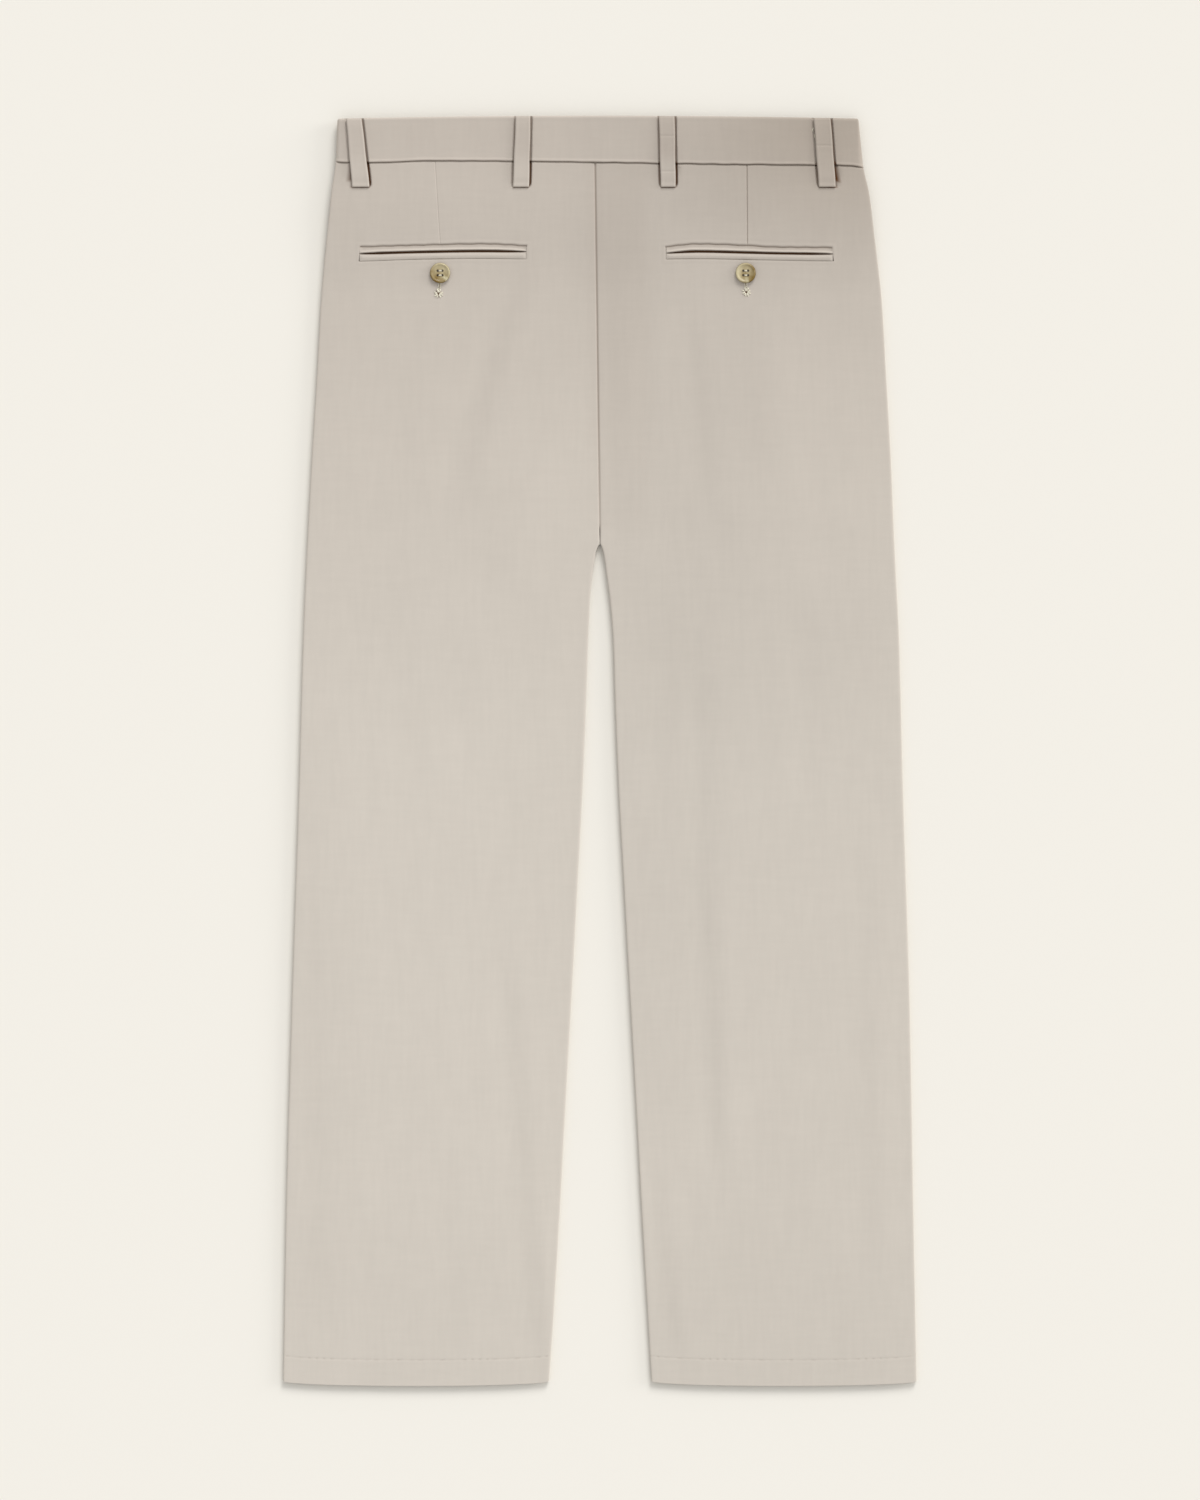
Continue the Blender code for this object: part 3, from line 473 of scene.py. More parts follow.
def back_relief(side, x, down):
    """What stands out of a back panel, or is sewn down into it, beyond its main form."""
    shifted = down + row_shift(BACK, side, x, down)
    relief = unevenness(x, down, 7 + side) * eased((down - 45) / 40)
    # The dart is a fine line from the waist seam to the pocket, deeper on the right.
    from_dart = x - dart_x(side, down)
    relief = relief - above_pocket(down) * DART_DEPTHS[side] * bump(from_dart, DART_REACH)
    relief = relief - line(shifted - back_waist(x), *WAIST_ROLL)
    in_seat = line(x - inner_x(side, down), *SEAT_ROLL)
    relief = relief - in_seat * (1 - inner_roll(down))
    from_pocket, above = pocket_distances(side, x, down)
    for out, height_above, height_beside, reach in POCKET_FRAME:
        height = np.where(above, height_above, height_beside)
        relief = relief + height * bump(from_pocket - out, reach)
    return relief + hem_relief(x, down)


def back_shade(side, x, down):
    """Painted shade in and beside the back panel's seams and sewn lines, 0 to 1."""
    shifted = down + row_shift(BACK, side, x, down)
    shade = loop_shade(x, shifted) + line(shifted - back_waist(x), *WAIST_SHADE)
    from_seam = np.abs(x - inner_x(side, down))
    # Painted shade beside the seat seam, reaching further on the wearer's right.
    beside_seam = 0.05 * bump(from_seam, 7)
    if side == RIGHT:
        beside_seam = 0.055 * (1 - eased((from_seam - 32) / 20))
        shade = shade + line(x - dart_x(side, down), *DART_SHADE) * above_pocket(down)
    above_crotch = (1 - inner_roll(down)) * eased((430 - down) / 200)
    shade = shade + (line(from_seam, *SEAT_SHADE) + beside_seam) * above_crotch
    from_pocket, above = pocket_distances(side, x, down)
    # Painted shade along the pocket's lines, strongest above it, and at the hem's caught threads.
    shade = shade + np.where(above, 0.38, 0.02) * bump(from_pocket, 0.6)
    return shade + 0.13 * hem_catch(x) * bump(down - HEM_TOP, 0.7)


def front_relief(side, x, down):
    """Soft troughs and sewn lines of a front panel, all into the cloth."""
    relief = -0.10 - unevenness(x, down, 21 + side)
    for *ends, half_width, depth in FRONT_TROUGHS:
        across, past_end = from_line(x, down, *ends)
        fade = bump(past_end, TROUGH_END * half_width)
        relief = relief - depth * bump(across, half_width) * fade
    return relief + hem_relief(x, down)


# ---------------------------------------------------------------- meshes
def rim(first_row, last_row, first_column, last_column):
    """Places round a rectangle of grid quads, once each, and the way out of the cloth."""
    top = [(first_row, c) for c in range(first_column, last_column)]
    right = [(r, last_column) for r in range(first_row, last_row)]
    bottom = [(last_row, c) for c in range(last_column, first_column, -1)]
    left = [(r, first_column) for r in range(last_row, first_row, -1)]
    return np.array(top + right + bottom + left)


def add_object(name, vertices, faces, material, sharp=50, shade=None):
    """A piece from points in mm and from arrays of faces. shade is the painted shade at each
    point.
    """
    mesh = bpy.data.meshes.new(name)
    corners = [face for group in faces for face in group.tolist()]
    mesh.from_pydata((vertices * 0.001).tolist(), [], corners)
    mesh.validate()
    if shade is not None:
        layer = mesh.attributes.new("seam_shade", "FLOAT", "POINT")
        layer.data.foreach_set("value", np.asarray(shade, np.float32))
    work = bmesh.new()
    work.from_mesh(mesh)
    bmesh.ops.delete(work, geom=[v for v in work.verts if not v.link_faces], context="VERTS")
    bmesh.ops.recalc_face_normals(work, faces=work.faces)
    if work.calc_volume(signed=True) < 0:
        bmesh.ops.reverse_faces(work, faces=work.faces)
    work.to_mesh(mesh)
    work.free()
    mesh.shade_smooth()
    mesh.set_sharp_from_angle(angle=math.radians(sharp))
    mesh.materials.append(material)
    obj = bpy.data.objects.new(name, mesh)
    bpy.context.scene.collection.objects.link(obj)
    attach(obj, "root")
    return obj


def add_cloth(name, outer, inner, node, hole=None, rounding=0.3, material=None, shade=0.0):
    """A closed shell between two grids of points, with rounded rims. It replaces node.

    hole is (first row, last row, first column, last column) of an opening through it, and
    shade is the painted shade on its outside at each point.
    """
    rows, columns = outer.shape[:2]
    count = rows * columns
    index = np.arange(count).reshape(rows, columns)
    keep = np.ones((rows - 1, columns - 1), bool)
    if hole:
        keep[hole[0]:hole[1], hole[2]:hole[3]] = False
    quads = np.stack([index[:-1, :-1], index[:-1, 1:], index[1:, 1:], index[1:, :-1]], -1)[keep]
    faces = [quads, quads[:, ::-1] + count]
    vertices = [outer.reshape(-1, 3), inner.reshape(-1, 3)]
    shade = np.broadcast_to(np.clip(shade, 0, 1), (rows, columns))
    shades = [shade.ravel(), np.zeros(count)]
    made = 2 * count
    rims = [(rim(0, rows - 1, 0, columns - 1), 1)]
    if hole:
        rims.append((rim(*hole), -1))
    for places, inward in rims:
        first, last = places.min(0), places.max(0)
        step = (places == first).astype(int) - (places == last)
        beside = places + inward * step
        edge = (outer[tuple(places.T)] + inner[tuple(places.T)]) / 2
        within = (outer[tuple(beside.T)] + inner[tuple(beside.T)]) / 2
        away = edge - within
        away /= np.linalg.norm(away, axis=1, keepdims=True)
        vertices.append(edge + away * rounding)
        shades.append(shade[tuple(places.T)])
        ring = made + np.arange(len(places))
        made += len(places)
        on_outer = index[tuple(places.T)]
        for near, far in ((on_outer, ring), (ring, on_outer + count)):
            faces.append(np.stack([near, np.roll(near, -1), np.roll(far, -1), far], -1))
    obj = add_object(name, np.concatenate(vertices), faces, material or TWILL,
                     shade=np.concatenate(shades))
    if node:
        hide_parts(node)
    return obj


# ---------------------------------------------------------------- materials
def srgb(red, green, blue):
    """Linear colour of an sRGB one given as 0 to 255."""
    values = [v / 255 for v in (red, green, blue)]
    return tuple(v / 12.92 if v <= 0.04045 else ((v + 0.055) / 1.055) ** 2.4 for v in values)


class Nodes:
    """Short names for making a material's nodes."""

    def __init__(self, name, roughness):
        self.material = bpy.data.materials.new(name)
        self.material.use_nodes = True
        self.tree = self.material.node_tree
        self.shader = self.tree.nodes["Principled BSDF"]
        self.look(Roughness=roughness)
        self.place = self.add("ShaderNodeTexCoord").outputs["Object"]

    def put(self, socket, value):
        """Links a node's output to a socket, or sets the socket to a number or a colour."""
        if isinstance(value, bpy.types.NodeSocket):
            self.tree.links.new(value, socket)
        elif socket.type == "RGBA":
            socket.default_value = (*value, 1.0)
        else:
            socket.default_value = value

    def look(self, **values):
        """Sets the shader's own sockets."""
        for key, value in values.items():
            self.put(self.shader.inputs[key.replace("_", " ")], value)

    def add(self, kind, settings=None, **inputs):
        node = self.tree.nodes.new(kind)
        for key, value in (settings or {}).items():
            setattr(node, key, value)
        for key, value in inputs.items():
            self.put(node.inputs[key.replace("_", " ")], value)
        return node

    def mapped(self, scale=(1, 1, 1), turn=0.0):
        node = self.add("ShaderNodeMapping", Vector=self.place, Scale=scale,
                        Rotation=(0, 0, turn))
        return node.outputs["Vector"]

    def along(self, centre, way):
        """Distances from a centre, in metres: along a way across the plan, and beside it."""
        node = self.add("ShaderNodeMapping", {"vector_type": "TEXTURE"}, Vector=self.place,
                        Location=(*centre, 0), Rotation=(0, 0, math.radians(way)))
        split = self.add("ShaderNodeSeparateXYZ", Vector=node.outputs["Vector"])
        return split.outputs["X"], split.outputs["Y"]

    def noise(self, scale, stretch=(1, 1, 1), detail=2.0, turn=0.0):
        node = self.add("ShaderNodeTexNoise", Vector=self.mapped(stretch, turn), Scale=scale,
                        Detail=detail)
        return node.outputs["Fac"]

    def wave(self, pitch, turn, distortion=0.0):
        """Lines this many metres apart."""
        node = self.add("ShaderNodeTexWave", Vector=self.mapped(turn=turn),
                        Scale=math.pi / 10 / pitch, Distortion=distortion)
        return node.outputs["Fac"]

    def distance(self, a, b):
        squares = self.math("ADD", self.math("MULTIPLY", a, a), self.math("MULTIPLY", b, b))
        return self.math("SQRT", squares)

    def patch(self, x, y, centre, reach):
        """1 at a centre in the plan, in metres, and 0 where it ends at its reach."""
        total = 0.0
        for value, middle, half in zip((x, y), centre, reach):
            offset = self.math("MULTIPLY", self.math("SUBTRACT", value, middle), 1 / half)
            total = self.math("ADD", self.math("MULTIPLY", offset, offset), total)
        return self.remap(total, 0.0, 1.0, 1.0, 0.0)

    def math(self, operation, a, b=0.0):
        node = self.add("ShaderNodeMath", {"operation": operation})
        self.put(node.inputs[0], a)
        self.put(node.inputs[1], b)
        return node.outputs[0]

    def remap(self, value, low, high, to_low, to_high):
        node = self.add("ShaderNodeMapRange", Value=value, From_Min=low, From_Max=high,
                        To_Min=to_low, To_Max=to_high)
        return node.outputs["Result"]

    def swing(self, noise, most):
        """A noise as a change of up to most either way."""
        return self.remap(noise, NOISE_LOW, NOISE_HIGH, -most, most)

    def mix(self, factor, a, b, blend="MIX"):
        node = self.add("ShaderNodeMix", {"data_type": "RGBA", "blend_type": blend})
        for place, value in zip((0, 6, 7), (factor, a, b)):
            self.put(node.inputs[place], value)
        return node.outputs[2]

    def relief(self, height, distance, strength=1.0):
        node = self.add("ShaderNodeBump", Height=height, Distance=distance, Strength=strength)
        self.tree.links.new(node.outputs["Normal"], self.shader.inputs["Normal"])


def as_lit(red, green, blue):
    """The colour of a surface that looks like this, 0 to 255, in the studio light."""
    return tuple(v / LIGHT_LEVEL for v in srgb(red, green, blue))


def twill_material(name, loop_painted_light=0.0):
    """Brushed cotton twill: fine diagonal ribs, faint slubs, and a tone that is palest at the
    legs, with painted shade towards the waist, darkest at the wearer's right of the waist."""
    n = Nodes(name, 0.9)
    split = n.add("ShaderNodeSeparateXYZ", Vector=n.place)
    x, y = split.outputs["X"], split.outputs["Y"]
    # Painted shade: the tone darkens from the legs up towards the waist.
    lower = n.math("POWER", n.remap(y, 0.51, 0.0, 0.0, 1.0), 0.75)
    right = n.remap(x, -0.12, 0.16, 0.0, 1.0)
    hip, leg = (n.mix(right, *(as_lit(*tone) for tone in tones))
                for tones in (SHADED_HIP_TONES, LEG_TONES))
    tone = n.mix(lower, hip, leg)
    # Painted shade, darkest at the upper corner of the wearer's right.
    corner = n.math("POWER", n.patch(x, y, *CORNER_SHADE_PATCH), 3.0)
    tone = n.mix(n.math("MULTIPLY", corner, 0.5), tone, as_lit(*CORNER_SHADE_TONE))
    # Painted light and shade in paler and darker patches.
    swell = 1.0
    for centre, reach, change in PAINTED_LIGHT_PATCHES:
        swell = n.math("ADD", n.math("MULTIPLY", n.patch(x, y, centre, reach), change), swell)
    # Painted light on the lower parts of the loops.
    if loop_painted_light:
        swell = n.math("ADD", n.remap(y, 0.500, 0.480, 0.0, loop_painted_light), swell)
    slub_across = n.noise(260, (0.16, 1, 1), 3.0)
    slub_along = n.noise(260, (1, 0.13, 1), 3.0)
    cloud = n.noise(22, (1, 0.6, 1), 3.0)
    shade = n.math("ADD", n.swing(slub_across, 0.010), n.swing(slub_along, 0.013))
    shade = n.math("ADD", shade, n.swing(cloud, 0.009))
    shade = n.math("ADD", shade, swell)
    rib = n.wave(RIB_PITCH, math.radians(RIB_TURN), 1.2)
    shade = n.math("MULTIPLY", shade, n.remap(rib, 0, 1, 0.975, 1.02))
    grey = n.add("ShaderNodeCombineColor", Red=shade, Green=shade, Blue=shade)
    # Painted shade in the seams and ditches, as much as the seam_shade attribute gives.
    painted_seam_shade = n.add("ShaderNodeAttribute", {"attribute_name": "seam_shade"}).outputs["Fac"]
    cloth = n.mix(1.0, tone, grey.outputs["Color"], "MULTIPLY")
    weft = n.wave(WEFT_PITCH, math.radians(90), 0.6)
    height = n.math("ADD", n.math("MULTIPLY", rib, 0.7), n.math("MULTIPLY", weft, 0.3))
    height = n.math("ADD", height, n.math("MULTIPLY", slub_along, 0.3))
    n.relief(height, 0.0001, 0.35)
    n.look(Base_Color=n.mix(painted_seam_shade, cloth, as_lit(*SEAM_SHADE_TONE)), Sheen_Weight=0.12,
           Sheen_Roughness=0.55, Sheen_Tint=(0.95, 0.92, 0.88), Specular_IOR_Level=0.2)
    return n.material


def plain_material(name, colour, roughness):
    n = Nodes(name, roughness)
    grain = n.noise(1800, detail=2.0)
    paleness = n.remap(grain, NOISE_LOW, NOISE_HIGH, 0.0, 1.0)
    n.look(Base_Color=n.mix(paleness, tuple(0.86 * c for c in colour), colour))
    n.relief(grain, 0.00005, 0.5)
    return n.material


def horn_material(name, centre, pale_way, streak_way, streaked):
    """Brown horn, paler towards one side, with a pale streak from the middle to the rim,
    and painted shade in a ring at the rim's edge and round each hole.
    """
    n = Nodes(name, 0.35)
    across = n.along(centre, pale_way)[0]
    mottle = n.swing(n.noise(190, (1, 0.6, 1), 4.0), 0.0045)
    fleck = n.swing(n.noise(700, (1, 0.7, 1), 3.0), 0.0008)
    tone = n.remap(n.math("ADD", across, mottle), -0.0075, 0.0085, 0.0, 1.0)
    base = n.mix(tone, as_lit(*HORN_BROWN), as_lit(*HORN_PALE))
    out, side_way = n.along(centre, streak_way)
    off = n.math("ADD", n.math("ABSOLUTE", side_way), fleck)
    streak = n.math("MULTIPLY", n.remap(off, 0.0004, 0.0021, 1.0, 0.0),
                    n.remap(out, 0.0015, 0.0045, 0.0, streaked))
    base = n.mix(streak, base, as_lit(*HORN_STREAK))
    # Painted shade in a ring at the rim's outer edge.
    rim_shade = n.remap(n.distance(out, side_way), 0.0080, 0.0084, 0.0, 0.6)
    base = n.mix(rim_shade, base, as_lit(*HORN_RIM_SHADE))
    # Painted shade round each of the four holes.
    from_hole = n.distance(*(n.math("SUBTRACT", n.math("ABSOLUTE", offset),
                                    BUTTON_HOLE_PLACE * 0.001)
                             for offset in n.along(centre, 0)))
    hole_shade = n.remap(from_hole, 0.0009, 0.0013, 0.85, 0.0)
    n.look(Base_Color=n.mix(hole_shade, base, as_lit(*HORN_HOLE_SHADE)), Specular_IOR_Level=0.3,
           Coat_Weight=0.1, Coat_Roughness=0.15)
    return n.material


def button_x(side):
    return float(seat_seam_x(BUTTON_DOWN)) + side * POCKET_FROM_SEAM + BUTTON_SHIFT


TWILL = twill_material("chino_twill")
# A copy of the twill for the loops, with painted light on their lower parts.
LOOP_TWILL_PAINTED_LIGHT = twill_material("loop_twill_painted_light", 0.06)
THREAD = plain_material("sewing_thread", srgb(214, 204, 188), 0.7)
CREAM_THREAD = plain_material("button_thread", srgb(232, 226, 206), 0.6)
SHADE_THREAD = plain_material("shade_thread", srgb(150, 134, 116), 0.8)
# A dark sheet of painted shade, behind the pockets' slits and in the keyholes' eyes.
POCKET_SHADE_SHEET = plain_material("pocket_shade_sheet", srgb(84, 54, 26), 0.95)
BUTTON_Y = (LENGTH / 2 - BUTTON_DOWN) * 0.001
HORN = {LEFT: horn_material("horn_left", (button_x(LEFT) * 0.001, BUTTON_Y), 60, -45, 0.85),
        RIGHT: horn_material("horn_right", (button_x(RIGHT) * 0.001, BUTTON_Y), 165, -80, 0.5)}


# ---------------------------------------------------------------- panels
def columns_of(shares, roll_steps):
    """Where each column of a panel is: zone (-1 inner fold, 0 flat, 1 outer fold) and
    its angle round the fold, or its share of the way across the flat cloth."""
    turns = math.pi / 2 * np.linspace(0, 1, roll_steps + 1)[:-1] ** 1.3
    zone = np.concatenate([-np.ones(roll_steps), np.zeros(len(shares)), np.ones(roll_steps)])
    return zone[None, :], np.concatenate([turns, shares, turns[::-1]])[None, :]


def panel_x(side, zone, amount, down):
    inner, outer, roll = inner_x(side, down), outer_x(side, down), inner_roll(down)
    start, end = inner + side * FOLD_REACH, outer - side * FOLD_REACH
    rolled = 1 - np.cos(amount)
    at_inner = inner + side * FOLD_REACH * (roll * rolled + (1 - roll) * amount * 2 / math.pi)
    at_outer = outer - side * FOLD_REACH * rolled
    return np.where(zone == 0, start + amount * (end - start),
                    np.where(zone < 0, at_inner, at_outer))


def panel_points(facing, side, zone, amount, down, wall, draw=None, relief=None, bend=None):
    """Outer and inner points of a panel. draw moves columns along X, relief is added to
    the outside, and bend to both sides."""
    x = panel_x(side, zone, amount, down)
    if draw:
        x = x + draw(x, down)
    surface = under_z(down) + 0 * x
    if facing == BACK:
        from_seam = (x - inner_x(side, down)) / SEAT_SEAM_REACH
        dip = SEAT_SEAM_DIP * (1 - inner_roll(down)) * bump(from_seam, 1)
        surface = over_z(side, x, down) - dip
    edge = np.where(zone < 0, inner_x(side, down), outer_x(side, down))
    at_seam = (under_z(down) + over_z(side, edge, down)) / 2 + facing * SEAM_GAP / 2
    turn = np.where(zone == 0, math.pi / 2, amount)
    roll = np.where(zone < 0, inner_roll(down), 1.0)
    flatness = 1 - roll + roll * np.sin(turn) ** 2
    if bend:
        surface = surface + bend(x, down + 0 * x) * flatness
    z = surface + (at_seam - surface) * roll * (1 - np.sin(turn) ** FOLD_FULLNESS)
    away = np.where(zone < 0, -side, side)
    out = points(away * roll * np.cos(turn), 0 * x, facing * (1 - roll + roll * np.sin(turn)))
    out /= np.linalg.norm(out, axis=-1, keepdims=True)
    places = points(x, place_y(facing, side, x, down), z)
    inner = places - out * wall[..., None]
    if relief:
        places = places + out * (relief(x, down + 0 * x) * flatness)[..., None]
    return places, inner


def hem_wall(down):
    return CLOTH + (HEM_WALL - CLOTH) * eased((down - HEM_TOP + 2) / 2)


def pocket_row_width(side):
    return abs(float(outer_x(side, POCKET_DOWN) - inner_x(side, POCKET_DOWN)))


def back_share(side, from_seam):
    """The share of the way across a back panel's flat cloth, at the pocket's upper edge."""
    return (from_seam - FOLD_REACH) / (pocket_row_width(side) - 2 * FOLD_REACH)


def add_back_panel(side):
    near, far = POCKET_FROM_SEAM - POCKET_WIDTH / 2, POCKET_FROM_SEAM + POCKET_WIDTH / 2
    dart = abs(DARTS[side][1] - float(seat_seam_x(POCKET_DOWN)))
    loops = [abs(loop_x(number, POCKET_DOWN / 2) - float(seat_seam_x(POCKET_DOWN / 2)))
             for number in ((1, 0) if side == LEFT else (2, 3))]
    # Columns are close together at the seat seam, the loops, the pocket's ends and the dart.
    fine, coarse, by_loop = 0.7, 3.8, 11
    from_seam = spaced(FOLD_REACH, (10, 0.9), (loops[0] - by_loop, coarse), (near, fine),
                       (loops[0] + by_loop, fine), (dart - 2, coarse), (dart - 0.8, 0.4),
                       (dart, 0.2), (dart + 0.8, 0.2), (dart + 2, 0.4),
                       (loops[1] - by_loop, coarse), (far, fine), (loops[1] + by_loop, fine),
                       (pocket_row_width(side) - FOLD_REACH, coarse))
    shares = back_share(side, from_seam)
    # Rows are close together at the waist seam, the loops' ends, the pocket and the hem.
    pocket_end = POCKET_DOWN + POCKET_HEIGHT
    rows = spaced(BAND_HEIGHT, (43, 0.5), (54, 2), (62, 0.8), (100, 3.2), (POCKET_DOWN, 0.8),
                  (pocket_end, 1.2), (127, 0.9), (150, 2.6), (330, 4), (404, 3),
                  (HEM_TOP - 4, 7), (HEM_TOP + 4, 0.5), (HEM_CORNER_DOWN - 2, 3),
                  (HEM_CORNER_DOWN, 0.4))
    zone, amount = columns_of(shares, 8)
    down = rows[:, None]

    def draw_to_dart(x, down):
        share = back_share(side, dart)
        own_x = panel_x(side, np.zeros((1, 1)), share, down)
        offset = (dart_x(side, down) - own_x) * (1 - eased((down - POCKET_DOWN) / 25))
        return offset * bump(x - own_x, 26)

    outer, inner = panel_points(BACK, side, zone, amount, down, hem_wall(down) + 0 * amount,
                                draw_to_dart, lambda x, d: back_relief(side, x, d),
                                lambda x, d: back_bend(side, x, d))
    first_row, last_row = (int(np.argmin(abs(rows - d))) for d in (POCKET_DOWN, pocket_end))
    columns = [int(np.argmin(abs(amount[0] - back_share(side, d)) + 9 * abs(zone[0])))
               for d in (near, far)]
    name = f"back_{SIDE_NAMES[side]}"
    x = panel_x(side, zone, amount, down)
    shade = back_shade(side, x + draw_to_dart(x, down), down)
    return add_cloth(name, outer, inner, f"back_panel_{SIDE_NAMES[side]}",
                     (first_row, last_row, *columns), shade=shade)


def mouth_x(side, down):
    t = (down - BAND_HEIGHT) / (SLANT_END_DOWN - BAND_HEIGHT)
    from_side = SLANT_FROM_SIDE + (SLANT_END_FROM_SIDE - SLANT_FROM_SIDE) * t
    return outer_x(side, down) - side * from_side


def flat_front(side, down, start, end, shares):
    """Outer and inner points across the flat underside of a front."""
    x = start + (end - start) * shares
    y, z = place_y(FRONT, side, x, down), under_z(down)
    return points(x, y, z - front_relief(side, x, down)), points(x, y, z + CLOTH)


def add_front_panel(side):
    shares, roll_steps = np.linspace(0, 1, 49), 6
    rows = spaced(BAND_HEIGHT, (SLANT_END_DOWN - 1, 4), (SLANT_END_DOWN, 1), (330, 7), (404, 3),
                  (HEM_TOP, 8), (HEM_CORNER_DOWN, 4))
    zone, amount = columns_of(shares, roll_steps)
    down = rows[:, None]
    outer, inner = panel_points(FRONT, side, zone, amount, down, hem_wall(down) + 0 * amount,
                                relief=lambda x, d: front_relief(side, x, d))
    slanted = rows < SLANT_END_DOWN
    across = np.linspace(0, 1, len(shares) + roll_steps)[None, :]
    start = inner_x(side, down[slanted]) + side * FOLD_REACH
    outer[slanted, roll_steps:], inner[slanted, roll_steps:] = flat_front(
        side, down[slanted], start, mouth_x(side, down[slanted]), across)
    return add_cloth(f"front_{SIDE_NAMES[side]}", outer, inner,
                     f"front_panel_{SIDE_NAMES[side]}")


def add_facing(side):
    rows = spaced(BAND_HEIGHT, (SLANT_END_DOWN - 1 - SEAM_GAP, 4))[:, None]
    fold_start = outer_x(side, rows) - side * FOLD_REACH
    edge = mouth_x(side, rows) + side * 1.3 * SEAM_GAP
    flat_outer, flat_inner = flat_front(side, rows, edge, fold_start, np.linspace(0, 1, 9)[None])
    turns = np.linspace(math.pi / 2, 0, 9)[None, 1:]
    rolled_outer, rolled_inner = panel_points(FRONT, side, np.ones_like(turns), turns, rows,
                                              CLOTH + 0 * (rows + turns))
    return add_cloth(f"facing_{SIDE_NAMES[side]}",
                     np.concatenate([flat_outer, rolled_outer], 1),
                     np.concatenate([flat_inner, rolled_inner], 1),
                     f"pocket_facing_{SIDE_NAMES[side]}")


def on_back(side, x, down, lift=0.0):
    """Points on a finished back panel, moved out by lift."""
    x, down = np.asarray(x, float), np.asarray(down, float)
    z = over_z(side, x, down) + back_relief(side, x, down) + lift
    return points(x, place_y(BACK, side, x, down), z)


# ---------------------------------------------------------------- back pockets
def add_welt(side, name, edges):
    """One folded lip of a double-welt pocket. edges(t, x) gives its first and last edge as
    down at t, 0 to 1 along the pocket."""
    lifts, depths, shades = LIPS[name]
    near, far = (back_share(side, POCKET_FROM_SEAM + way * (POCKET_WIDTH / 2 - WELT_END_GAP))
                 for way in (-1, 1))
    t = np.linspace(0, 1, 141)[None, :]
    share_across = np.linspace(0, 1, 17)[:, None]
    x = panel_x(side, np.zeros((1, 1)), near + (far - near) * t, POCKET_DOWN + 6)
    first, last = edges(t, x)
    down = first + (last - first) * share_across
    even = np.linspace(0, 1, len(lifts))
    lift = np.interp(share_across, even, lifts) * (1 - bump((0.5 - np.abs(t - 0.5)) * 140, 1.2))
    swell = 0.06 * np.sin(x / 9.0 + side) + 0.05 * np.sin(x / 3.7)
    level, y = over_z(side, x, down), place_y(BACK, side, x, down)
    outer = points(x, y, level + lift * (1 + swell))
    inner = points(x, y, level - np.interp(share_across, even, depths))
    # Painted shade along the lip's dark lines.
    shade = sum(line(share_across - place, dark, reach) for place, dark, reach in shades)
    node = f"{name}_welt_{SIDE_NAMES[side]}"
    return add_cloth(node.replace("welt", "lip"), outer, inner, node, rounding=0.15,
                     shade=shade)


def add_pocket(side):
    top, bottom = POCKET_DOWN + SEAM_GAP, POCKET_DOWN + POCKET_HEIGHT - SEAM_GAP
    least = SEAM_GAP / 2

    def half_slit(t):
        return least + (SLIT / 2 - least) * np.minimum(1, 9 * t * (1 - t)) ** 0.6

    def slit(x):
        return POCKET_SLIT[side](x) - pocket_shift(side, x, POCKET_DOWN + POCKET_HEIGHT / 2)

    upper = add_welt(side, "upper", lambda t, x: (top, slit(x) - half_slit(t)))
    lower = add_welt(side, "lower", lambda t, x: (slit(x) + half_slit(t), bottom))
    # A dark sheet behind the slit, painted shade of the pocket's inside.
    centre = float(seat_seam_x(POCKET_DOWN)) + side * POCKET_FROM_SEAM
    x = centre + np.linspace(-0.5, 0.5, 29)[None] * (POCKET_WIDTH - 4)
    down = slit(x) + np.linspace(-2.4, 2.4, 5)[:, None]
    top_z, y = over_z(side, x, down) - 1.95, place_y(BACK, side, x, down)
    inside = add_cloth(f"pocket_shade_sheet_{SIDE_NAMES[side]}", points(x, y, top_z),
                       points(x, y, top_z - 0.4), None, rounding=0.1, material=POCKET_SHADE_SHEET)
    return upper, lower, inside


# ---------------------------------------------------------------- waistband
def band_path():
    """Places round the waistband's outside at half its height, from its left end: x, z
    and the way out, in columns."""
    radius, middle = (BAND_TOP_Z - BAND_UNDER_Z) / 2, (BAND_TOP_Z + BAND_UNDER_Z) / 2
    left = float(outer_x(LEFT, BAND_HEIGHT / 2)) + radius
    right = float(outer_x(RIGHT, BAND_HEIGHT / 2)) - radius
    ramp_end = TAB_REACH + 3.0
    ramp_start = ramp_end + TAB_RAMP
    over_tab = BAND_UNDER_Z + BAND_WALL + SEAM_GAP
    # Round the left side, across the back from loop to loop, and round the right side.
    turns = np.linspace(0, math.pi, 17)
    runs, by_loop = [], 12
    for number in range(len(BACK_LOOPS)):
        at_loop = loop_x(number, BAND_HEIGHT / 2)
        runs += [(at_loop - by_loop, 2), (at_loop + by_loop, 0.6)]
    back = spaced(left, *runs, (right, 2))[1:-1]
    # The right end climbs on to the tab of the left end.
    under_left, under_right = np.array([TAB_REACH]), np.array([ramp_start, ramp_end, BAND_END_X])
    climb = BAND_UNDER_Z + (over_tab - BAND_UNDER_Z) * eased((ramp_start - under_right) / TAB_RAMP)
    sine, cosine = np.sin(turns), np.cos(turns)
    # x, z, and the way out along X and Z.
    parts = (
        (under_left, BAND_UNDER_Z, 0, -1),
        (left - radius * sine, middle - radius * cosine, -sine, -cosine),
        (back, BAND_TOP_Z, 0, 1),
        (right + radius * sine, middle + radius * cosine, sine, cosine),
        (under_right, climb, 0, -1),
    )
    columns = zip(*(np.broadcast_arrays(*part) for part in parts))
    return [np.concatenate(column) for column in columns]


